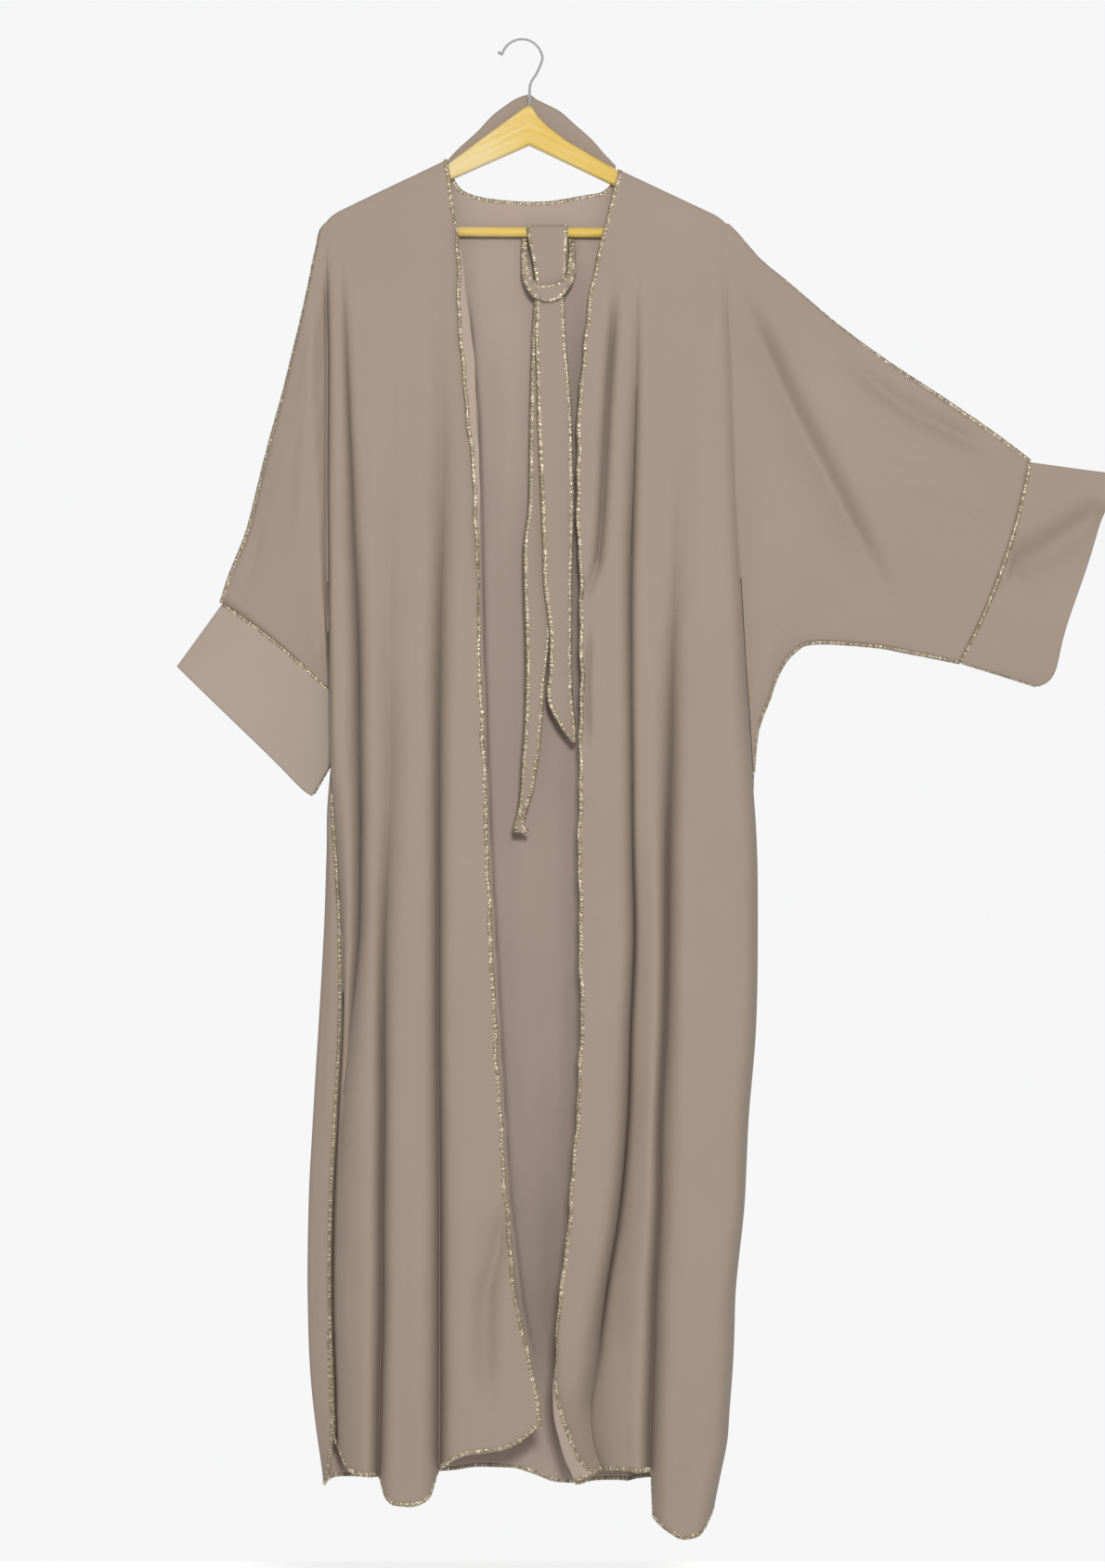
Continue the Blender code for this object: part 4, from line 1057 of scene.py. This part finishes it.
# %% A sleeve half
def ring_side(cuff, run, lip, sign, shares):
    """One side, front (+1) or back (-1), of a flattened ring across a sleeve or cuff."""
    x0, drop0, x1, drop1, bow, corner, half = (
        np.interp(run, cuff["run"], cuff[name])
        for name in ("top_x", "top_drop", "low_x", "low_drop", "bow", "corner", "half")
    )
    t = np.asarray(shares, float)
    arch = (4 * bow * t + CORNER_REACH * corner * t**CORNER_POWER) * (1 - t) * np.sign(x0)
    arch /= math.hypot(x1 - x0, drop1 - drop0)
    swell = np.sin(math.pi * t).clip(0) ** RING_POWER
    xs = x0 + (x1 - x0) * t + (drop1 - drop0) * arch
    drops = drop0 + (drop1 - drop0) * t - (x1 - x0) * arch
    return np.stack([xs, sign * (lip + half * swell), drops], axis=1)


def sleeve(panel_side, top, under, steps, cuff, sign, bulge, folds=(), shared=()):
    """A patch between a panel's side column, two seams and the cuff seam."""
    inner = panel_side[: CROSSING_STEPS + ROWS_ABOVE + 1].copy()
    fold_in(inner, shared, -sign)  # the panel has this fold already: smooth it, then fold both
    run = run_of(inner)
    t = run / run[-1]
    outer = ring_side(cuff, 0.0, SLEEVE_LIP, sign, t)
    s = np.linspace(0, 1, steps) ** 1.5  # closer together beside the panel
    seams = []
    for line, end in ((top, inner[0]), (under, inner[-1])):
        points = along(line, s)
        fade = ease(1 - s / SEAM_FADE)
        out = end[OUT] * fade + sign * SLEEVE_LIP * (1 - fade)
        seam = np.stack([points[:, 0], out, points[:, 1]], axis=1)
        seams.append(seam + (end - seam[0]) * fade[:, None])
    seams[0][-1], seams[1][-1] = outer[0], outer[-1]
    s, t = s[None, :, None], t[:, None, None]
    patch = (1 - s) * inner[:, None] + s * outer[:, None] + (1 - t) * seams[0] + t * seams[1]
    patch -= (1 - s) * ((1 - t) * inner[0] + t * inner[-1])
    patch -= s * ((1 - t) * outer[0] + t * outer[-1])
    crown = np.sin(math.pi * s[..., 0]) * np.sin(math.pi * t[..., 0]).clip(0) ** CROWN_POWER
    patch[..., OUT] += sign * bulge * crown
    fold_in(patch, shared, sign)
    reach = np.clip(3.0 * crown, 0, 1) ** 0.5  # no fold reaches the seams
    for depth, *shape in folds:
        patch[..., OUT] -= sign * depth * reach * crease(patch, *shape)
    return patch


SLEEVE_RIGHT_FOLDS = (
    fold(-3.5, 9.0, (-228, 260), (-236, 400), (-244, 480), (-247, 570)),
    fold(2.6, 7.0, (-292, 545), (-301, 592), (-316, 628)),
    fold(2.0, 4.0, (-225, 640), (-222, 690), (-219, 735)),
)
ARMPIT_PULL = ((232, 235), (246, 290), (274, 350), (306, 420), (342, 490), (392, 588), (428, 662))
SLEEVE_LEFT_FOLDS = (
    fold(21.0, 12.0, *ARMPIT_PULL, fade=0.33, lean=3.0),
    fold(13.0, 15.0, (349, 347), (395, 387), (439, 418), (494, 443), (552, 466)),
    fold(2.4, 4.0, (405, 473), (440, 478), (476, 486)),
    fold(3.4, 7.0, (416, 502), (488, 519), (550, 556)),
    fold(2.4, 5.0, (455, 545), (500, 556), (530, 575)),
    fold(2.4, 8.0, (560, 560), (520, 600), (500, 640)),
    fold(3.0, 14.0, (300, 560), (330, 610), (360, 655)),
)
RIGHT_CUT = (TOP_RIGHT, UNDER_RIGHT, 44, CUFF_RIGHT)
LEFT_CUT = (TOP_LEFT, UNDER_LEFT, 88, CUFF_LEFT)
sleeve_right = sleeve(right[:, -1], *RIGHT_CUT, 1, 9.0, SLEEVE_RIGHT_FOLDS, RIGHT_FOLDS[:1])
sleeve_left = sleeve(left[:, -1], *LEFT_CUT, 1, 8.0, SLEEVE_LEFT_FOLDS)
back_right = sleeve(behind[:, 0], *RIGHT_CUT, -1, 5.0)
back_left = sleeve(behind[:, -1], *LEFT_CUT, -1, 8.0)

front_right = cloth("cloak_front_right", [right, sleeve_right], -1)
front_left = cloth("cloak_front_left", [left, sleeve_left], -1)
back = cloth("cloak_back", [behind, back_right, back_left], 1)

# %% [markdown]
# ## The cuffs
#
# A cuff is a straight tube of doubled cloth sewn to the sleeve's end. Its grid is a set
# of rings; after the outer edge the cloth turns in and runs back a little way inside, as
# the doubled hem of a cuff does.

# %% Cuff rings
HEM_DEEP = 0.22  # share of the cuff's length that its inner layer shows
SIDE_POINTS, OUTER_RINGS = 30, 34


def cuff_rings(cuff):
    """Rings of a cuff from the sleeve's end to its outer edge and a little way back in."""
    shares = 0.5 - 0.5 * np.cos(np.linspace(0, math.pi, SIDE_POINTS))
    outer = [(run, CUFF_LIP) for run in np.linspace(0.004, 0.985, OUTER_RINGS)]
    edge = [(0.995, CUFF_LIP - 0.25), (1.0, CUFF_LIP - 0.75), (0.995, CUFF_LIP - 1.3)]
    inner = [(run, CUFF_LIP - 1.5) for run in np.linspace(0.985, 1 - HEM_DEEP, 8)]
    rings = []
    for run, lip in outer + edge + inner:
        near, far = (ring_side(cuff, run, lip, sign, shares) for sign in (1, -1))
        rings.append(np.concatenate([near, far[::-1], near[:1]]))
    return np.array(rings)


rings_right, rings_left = cuff_rings(CUFF_RIGHT), cuff_rings(CUFF_LEFT)
CUFF_FOLDS = (
    fold(23.0, 17.0, (535, 592), (575, 572), (612, 548), (660, 516), fade=0.2, lean=2.2),
    fold(2.5, 9.0, (520, 640), (548, 668), (572, 690)),
)
fold_in(rings_left[:, 1 : SIDE_POINTS - 1], CUFF_FOLDS)  # the front side only
cuff_right = cloth("cuff_right_cloth", [rings_right], -1, closed=True, shown=cuff_crepe_painted_lighter)
cuff_left = cloth("cuff_left_cloth", [rings_left], -1, closed=True)

# %% [markdown]
# ## The belt
#
# The belt is a flat strip folded in half and hitched over the bar: the fold comes forward
# under the bar as a band, and both ends drop through it as two tails of unequal length.

# %% The belt's stretches
BELT_OVER = table(
    "drop left right out",
    (223, 6, 50, -7.5),
    (214, 6),
    (208.75, 6, 50, -5.3),
    (206.55, 6, 50, 0),
    (208.75, 6, 50, 5.3),
    (214, 6, 50, 7.5),
    (226, 8),
    (245, 12, 49, 7.8),
    (265, 15, 48, 8.2),
    (284, 17, 46, 8.6),
)
TAIL_SHORT = table(
    "drop left right out",
    (284.4, 17, 46, 9.6),
    (331, 15, 48, 11),
    (379, 17, 52, 12),
    (425, 18, 55, 12.5),
    (472, 20, 56, 13),
    (520, 22, 57, 14),
    (572, 24, 56, 15),
    (609, 25, 55, 15.5),
    (657, 31, 55, 16),
    (700, 31, 55, 16.5),
    (735, 29, 56, 16),
    (760, 40, 59, 15.5),
    (783, 56, 60, 15),
)
TAIL_LONG = table(
    "drop left right out",
    (284.4, 15, 45, 7),
    (331, 12, 45, 5),
    (401, 10, 44, 4),
    (460, 9, 43),
    (519, 8, 42),
    (560, 3, 37, 5),
    (608, 3, 34, 6),
    (671, 5, 30, 7),
    (718, 5, 25, 8),
    (760, 4, 22),
    (800, 1, 18, 7),
    (835, -1, 12, 6),
    (862, -5, 4, 5),
    (874, -9, 2, 4),
    (883, -8, 8, 3),
)

BELT_COLUMNS = 9
BIGHT = (  # x, out, drop, height
    (2.6, -7.6, 214, 6), (2.8, -5, 225, 6), (2.8, 0, 236, 6), (3.4, 5, 250, 7),
    (5.4, 9.8, 265, 9), (13.5, 13.4, 279, 13), (24, 14.2, 284, 18), (36, 14.2, 283, 18),
    (47.4, 13.6, 275, 12), (54.6, 9.4, 263, 9), (55.2, 5, 250, 7), (55.8, 0, 236, 6),
    (55.4, -5, 225, 6), (53.4, -7.6, 214, 6),
)


def ribbon(sheet, rows, crown=0.8):
    """A flat strip from its table, bowed forwards a little in the middle."""
    share, keys = np.linspace(0, 1, BELT_COLUMNS), []
    bow = crown * np.sin(math.pi * share)
    for drop, left_x, right_x, out in zip(*sheet.values()):
        xs = left_x + (right_x - left_x) * share
        keys.append(np.stack([xs, out + bow, np.full(BELT_COLUMNS, drop)], axis=1))
    return smooth(keys, rows)


def bight(rows):
    """The band in front: its height lies across the way that it runs."""
    keys = []
    path = np.array([(x, out, drop) for x, out, drop, _ in BIGHT], float)
    for middle, way, (_, _, _, height) in zip(path, np.gradient(path, axis=0), BIGHT):
        flat = np.array([way[X], way[DROP]]) / np.linalg.norm([way[X], way[DROP]])
        side = np.array([-flat[1], 0.0, flat[0]]) * height / 2
        keys.append([middle + side * share for share in np.linspace(-1, 1, BELT_COLUMNS)])
    return smooth(keys, rows)


SHORT_FOLDS = (
    fold(0.8, 5.0, (14, 326), (50, 331)),
    fold(0.8, 6.0, (20, 492), (56, 488)),
    fold(1.4, 4.0, (55, 698), (37, 728)),
    fold(1.2, 4.0, (27, 730), (42, 754), (58, 786)),
)
over_bar = ribbon(BELT_OVER, 60, 0.0)
short_tail = fold_in(ribbon(TAIL_SHORT, 120), SHORT_FOLDS)
long_tail = fold_in(ribbon(TAIL_LONG, 130), [fold(0.9, 6.0, (5, 608), (38, 604))])
band = bight(90)
belt_over = cloth("belt_over_bar_cloth", [over_bar], -1, DOUBLED)
belt_band = cloth("belt_band_cloth", [band], -1, DOUBLED)
belt_short = cloth("belt_short_tail", [short_tail], -1)
belt_long = cloth("belt_long_tail", [long_tail], -1)

# %% [markdown]
# ## The strap behind the arms
#
# A flat strip of the same crepe lies behind the hanger's arms and peaks at the hook.

# %% The strap
STRAP_TOP = (
    (-82, 130.5), (-71, 119), (-50, 100), (-34, 83), (-20, 72), (-6, 63), (8, 59), (16, 64),
    (26, 69), (43, 78), (60, 93), (78, 109), (92, 125), (104.5, 138),
)
STRAP_OUT = -7.2
STRAP_HEIGHTS = ((-82, 13), (-60, 33), (80, 33), (104.5, 13))  # (x, height)

rows = []
for x, drop in STRAP_TOP:
    height = np.interp(x, *np.array(STRAP_HEIGHTS).T)
    rows.append([(x, STRAP_OUT, drop + height * share) for share in np.linspace(0, 1, 7)])
strap = cloth("hanging_strap_cloth", [smooth(rows, 90)], -1)

# %% [markdown]
# ## Overlocked edges
#
# An overlocker throws its threads round the raw edge from both faces, close together, so
# the edge ends in a narrow rounded rib of slanted stitches. The rib is a low band, and on
# it sits one small ring of thread for each stitch, two dozen faces that are laid out
# again wherever a stitch falls, each a little different. On a seam the rib lies on the
# outside of the join, because this cloak's seams are sewn with their edges outwards.

# %% Runs of stitches
PITCH, THREAD = 1.9, 0.36  # distance between stitches and half a thread's width
RING, SIDES = 8, 3  # points round a stitch and round its thread
RIB_PITCH, RIB_POINTS, RIB_SPARK = 3.0, 8, 0.12
STITCH_LIFT, STITCH_SLANT, STITCH_STRAY = 0.25, 0.55, 0.2
chance = np.random.default_rng(7)


def unit(vectors):
    return vectors / np.maximum(np.linalg.norm(vectors, axis=-1, keepdims=True), 1e-9)


def spaced(points, inward, pitch):
    """A run's points and inward directions again, one for every pitch of its length."""
    points, inward = np.asarray(points, float), np.asarray(inward, float)
    run = run_of(points)
    count = max(3, round(run[-1] / pitch))
    at = (np.arange(count) + 0.5) * run[-1] / count
    spots, ways = at_runs(points, run, at), unit(at_runs(inward, run, at))
    tangent = unit(np.gradient(spots, axis=0))
    ways = unit(ways - tangent * np.sum(ways * tangent, axis=1, keepdims=True))
    return spots, ways, tangent, np.cross(tangent, ways)


def edge_run(points, inner, wide=5.2, half=0.6, beyond=0.9):
    """A run along a free edge, its stitches reaching from just beyond it to inside."""
    points = np.asarray(points, float)
    return points, np.asarray(inner, float) - points, wide, half, beyond


def stitches(run):
    """Points and sparks of the rings of thread along one run."""
    points, inward, wide, half, beyond = run
    spots, ways, tangent, face = spaced(points, inward, PITCH)
    count = len(spots)
    a = wide / 2 * chance.uniform(0.88, 1.1, count)[:, None]
    b = half + STITCH_LIFT
    stray = chance.normal(0, STITCH_STRAY, (count, 1))
    middle = spots + ways * (wide / 2 - beyond) + tangent * stray
    rings = []
    for turn in np.arange(RING) * 2 * math.pi / RING:
        c, s = math.cos(turn), math.sin(turn)
        centre = middle + ways * a * c + face * b * s + tangent * STITCH_SLANT * c
        radial = unit(ways * c / 2 + face * s)
        for side in np.arange(SIDES) * 2 * math.pi / SIDES:
            move = radial * math.cos(side) + tangent * math.sin(side)
            rings.append(centre + move * THREAD)
    spark = np.repeat(chance.beta(0.9, 1.3, count), RING * SIDES)
    return np.stack(rings, axis=1), spark


def rib(run):
    """The low rounded band under the stitches, as rings of points."""
    points, inward, wide, half, beyond = run
    spots, ways, _, face = spaced(points, inward, RIB_PITCH)
    middle = spots + ways * (wide / 2 - beyond)
    turns = np.arange(RIB_POINTS) * math.pi / 4
    low, high = ways * (wide / 2 - 0.15), face * (half + 0.12)
    return np.stack([middle + low * math.cos(t) + high * math.sin(t) for t in turns], axis=1)


def tube_faces(rings, around, closed):
    """Quads between rings of points that follow each other."""
    r, k = np.meshgrid(np.arange(rings if closed else rings - 1), np.arange(around), indexing="ij")
    here, after, beside = r * around, (r + 1) % rings * around, (k + 1) % around
    return np.stack([here + k, here + beside, after + beside, after + k]).reshape(4, -1).T


def overlock(name, runs):
    """One object with the ribs and the rings of thread of several runs."""
    points, faces, sparks, total = [], [], [], 0
    stitch, end = tube_faces(RING, SIDES, True), np.arange(RIB_POINTS)
    for run in runs:
        core = rib(run)
        count = len(core) * RIB_POINTS
        faces += (tube_faces(len(core), RIB_POINTS, False) + total).tolist()
        faces += [(total + end[::-1]).tolist(), (total + count - RIB_POINTS + end).tolist()]
        rings, spark = stitches(run)
        firsts = total + count + np.arange(len(rings)) * RING * SIDES
        faces += (stitch + firsts[:, None, None]).reshape(-1, 4).tolist()
        points += [core.reshape(-1, 3), rings.reshape(-1, 3)]
        sparks += [np.full(count, RIB_SPARK), spark]
        total += count + len(spark)
    mesh = bpy.data.meshes.new(name)
    mesh.from_pydata(world(np.concatenate(points)).tolist(), [], faces)
    mesh.validate()
    attribute = mesh.attributes.new("spark", "FLOAT", "POINT")
    attribute.data.foreach_set("value", np.concatenate(sparks).astype(np.float32))
    bm = bmesh.new()
    bm.from_mesh(mesh)
    bmesh.ops.recalc_face_normals(bm, faces=bm.faces)
    bm.to_mesh(mesh)
    bm.free()
    mesh.shade_smooth()
    mesh.materials.append(gold)
    obj = bpy.data.objects.new(name, mesh)
    bpy.context.scene.collection.objects.link(obj)
    print(f"{name}: {len(faces)} faces")
    return obj


# %% Where the thread runs
SLIT_TOP = 1430.0
SEAM_WIDE, SEAM_HALF = 6.0, 1.6
CUFF_SEAM_LIFT = 1.3  # how far the cuff's seam stands off the sleeve
BELOW_TOP = 18  # rows from a sleeve's top seam to where its cloth hangs down
armpit_row = CROSSING_STEPS + ROWS_ABOVE


def seam_run(one, other, one_inner, other_inner, **sizes):
    """A run along a seam: midway between its two layers, pointing into both."""
    one, other = np.asarray(one, float), np.asarray(other, float)
    middle = (one + other) / 2
    inner = (np.asarray(one_inner, float) + np.asarray(other_inner, float)) / 2
    return edge_run(middle, inner, SEAM_WIDE, SEAM_HALF, **sizes)


def rows_between(grid, column, low, high):
    drops = grid[:, column, DROP]
    return np.nonzero((drops >= low) & (drops <= high))[0]


def front_runs(grid):
    slit = rows_between(grid, -1, SLIT_TOP, math.inf)
    return [
        edge_run(grid[:, 0], grid[:, 2]),
        edge_run(grid[-1], grid[-4]),
        edge_run(grid[slit, -1], grid[slit, -3]),
    ]


def back_runs(grid):
    neck = [k for k in range(grid.shape[1]) if NECK_ENDS[0] < grid[0, k, X] < NECK_ENDS[1]]
    made = [edge_run(grid[-1], grid[-4]), edge_run(grid[0, neck], grid[4, neck])]
    for column, inner in ((0, 2), (-1, -3)):
        slit = rows_between(grid, column, SLIT_TOP, math.inf)
        made.append(edge_run(grid[slit, column], grid[slit, inner]))
    return made


def side_seam(grid, column, inner):
    """From the armpit to the top of the slit, where front and back join."""
    rows = [k for k in rows_between(grid, -1, 0, SLIT_TOP) if k >= armpit_row]
    other = behind[rows, column]
    return seam_run(grid[rows, -1], other, grid[rows, -4], behind[rows, inner], beyond=2.4)


def sleeve_runs(near, far):
    """Along the top and the underarm seam of one sleeve."""
    return [
        seam_run(near[0], far[0], near[BELOW_TOP], far[BELOW_TOP], beyond=4.0),
        seam_run(near[-1], far[-1], near[-4], far[-4], beyond=3.0),
    ]


def cuff_seam(cuff):
    shares = np.linspace(0, 1, 40)
    runs = []
    for sign in (1, -1):
        ring = ring_side(cuff, 0.0, SLEEVE_LIP + CUFF_SEAM_LIFT, sign, shares)
        beyond_it = ring_side(cuff, 0.1, SLEEVE_LIP + CUFF_SEAM_LIFT, sign, shares)
        runs.append(edge_run(ring, beyond_it, 4.2, 0.7, 2.1))
    return runs


def cuff_low_seam(rings):
    low = rings.shape[1] // 2
    outer = rings[:OUTER_RINGS]
    middle = (outer[:, low - 1] + outer[:, low]) / 2
    inner = (outer[:, low - 5] + outer[:, low + 4]) / 2
    return [edge_run(middle, inner, SEAM_WIDE, SEAM_HALF + 0.6, 2.2)]


sewn = {
    "thread_front_right": front_runs(right),
    "thread_front_left": front_runs(left),
    "thread_back": back_runs(behind),
    "thread_sides": [side_seam(right, 0, 3), side_seam(left, -1, -4)],
    "thread_sleeve_right": sleeve_runs(sleeve_right, back_right) + cuff_seam(CUFF_RIGHT),
    "thread_sleeve_left": sleeve_runs(sleeve_left, back_left) + cuff_seam(CUFF_LEFT),
    "thread_cuff_right": cuff_low_seam(rings_right),
    "thread_cuff_left": cuff_low_seam(rings_left),
}
for name, grid in (
    ("thread_belt_over", over_bar),
    ("thread_belt_band", band),
    ("thread_belt_short", short_tail),
    ("thread_belt_long", long_tail),
):
    sewn[name] = [edge_run(grid[:, 0], grid[:, 2]), edge_run(grid[:, -1], grid[:, -3])]
    if name in ("thread_belt_short", "thread_belt_long"):
        sewn[name].append(edge_run(grid[-1], grid[-4]))
threads = {name: overlock(name, runs) for name, runs in sewn.items()}

# %% [markdown]
# ## The hanger
#
# The hanger is varnished beech with a dowel between its arms, and its hook is a bright
# plated wire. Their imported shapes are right, so they keep them and get real finishes: the
# grain follows each arm, because the arms were steamed or joined at the middle.

# %% Varnished beech
ARMS_MIDDLE, ARMS_SLOPE = 0.008, 0.44  # metres; the slope is an angle
BEECH = (  # from the darkest streaks to the palest wood
    (0.38, (0.375, 0.24, 0.026)),
    (0.54, (0.395, 0.27, 0.052)),
    (0.68, (0.42, 0.32, 0.12)),
    (0.84, (0.43, 0.34, 0.19)),
)


def beech(name, slope, pale_slope, tone):
    """Grain that runs along arms of this slope on both sides of the middle."""
    finish = Finish(name)
    x, depth, height = finish.axes()
    aside = finish.node("ShaderNodeMath", {"operation": "ABSOLUTE"}, {0: x - ARMS_MIDDLE})
    run = aside * math.cos(slope) - height * math.sin(slope)
    rise = aside * math.sin(slope) + height * math.cos(slope)

    def streaks(detail, *scales):
        parts = {axis: way * scale for axis, way, scale in zip("XYZ", (run, depth, rise), scales)}
        return finish.noise(1.0, detail, finish.node("ShaderNodeCombineXYZ", None, parts))

    grain, fleck = streaks(3.0, 14.0, 90.0, 220.0), streaks(1.0, 160.0, 700.0, 1100.0)
    # The last term makes the wood steadily paler towards the wearer's right, along x.
    shade = 0.55 * grain + 0.2 * fleck + 0.35 * finish.noise(9.0) + x * -pale_slope
    stops = [(at, tuple(tone * part for part in colour)) for at, colour in BEECH]
    finish.gives(
        Base_Color=finish.ramp(shade, *stops),
        Roughness=0.45 + 0.12 * fleck,
        Normal=finish.bump(fleck, 0.08, 0.2 * MM),
        Specular_IOR_Level=0.2,
        Coat_Weight=0.6,
        Coat_Roughness=0.07,
    )
    return finish.material


# %% Plated wire
def plated():
    finish = Finish("bright plated steel")
    drawn = finish.noise(1.0, 2.0, finish.stretched((900.0, 900.0, 300.0)))
    tones = finish.mix(drawn, (0.30, 0.30, 0.31), (0.54, 0.54, 0.55))
    finish.gives(Base_Color=tones, Roughness=0.12 + 0.16 * drawn, Metallic=1.0)
    return finish.material


for node, surface in (
    ("hanger_wood", beech("varnished beech arms", ARMS_SLOPE, 1.6, 1.0)),
    # The dowel's beech is scaled by 1.05, a touch lighter than the arms: painted light that makes
    # up for the shade the dowel sits in.
    ("hanger_bar", beech("varnished beech dowel", 0.0, 0.5, 1.05)),
    ("hanger_hook", plated()),
):
    carried = frame["nodes"][node]
    carried.data.materials.clear()
    carried.data.materials.append(surface)
    print(node, "finished with", surface.name)

# %% [markdown]
# ## What each piece stands for
#
# Every shell takes the place of its plain solid and rides on the one body. The table
# below lists the size that each was cut to before it was hung.

SHEETS = (
    # piece, node it replaces, cut as (width, length), area of the cut, threads on it
    (front_right, "front_right", (0.62, 1.50), 0.50, ("thread_front_right", "thread_sleeve_right")),
    (front_left, "front_left", (0.86, 1.52), 0.66, ("thread_front_left", "thread_sleeve_left")),
    (back, "back", (1.30, 1.52), 1.15, ("thread_back", "thread_sides")),
    (cuff_right, "cuff_right", (0.36, 0.12), None, ("thread_cuff_right",)),
    (cuff_left, "cuff_left", (0.48, 0.12), None, ("thread_cuff_left",)),
    (belt_over, "belt_over_bar", (0.036, 0.10), None, ("thread_belt_over",)),
    (belt_band, "belt_bight", (0.013, 0.15), None, ("thread_belt_band",)),
    (belt_short, "belt_tail_short", (0.033, 0.52), None, ("thread_belt_short",)),
    (belt_long, "belt_tail_long", (0.033, 0.60), None, ("thread_belt_long",)),
    (strap, "hanging_strap", (0.026, 0.24), None, ()),
)
for piece, node, flat, area, sewn_on in SHEETS:
    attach(piece, "root")
    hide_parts(node)
for obj in threads.values():
    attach(obj, "root")
print("pieces:", len(SHEETS) + len(threads))
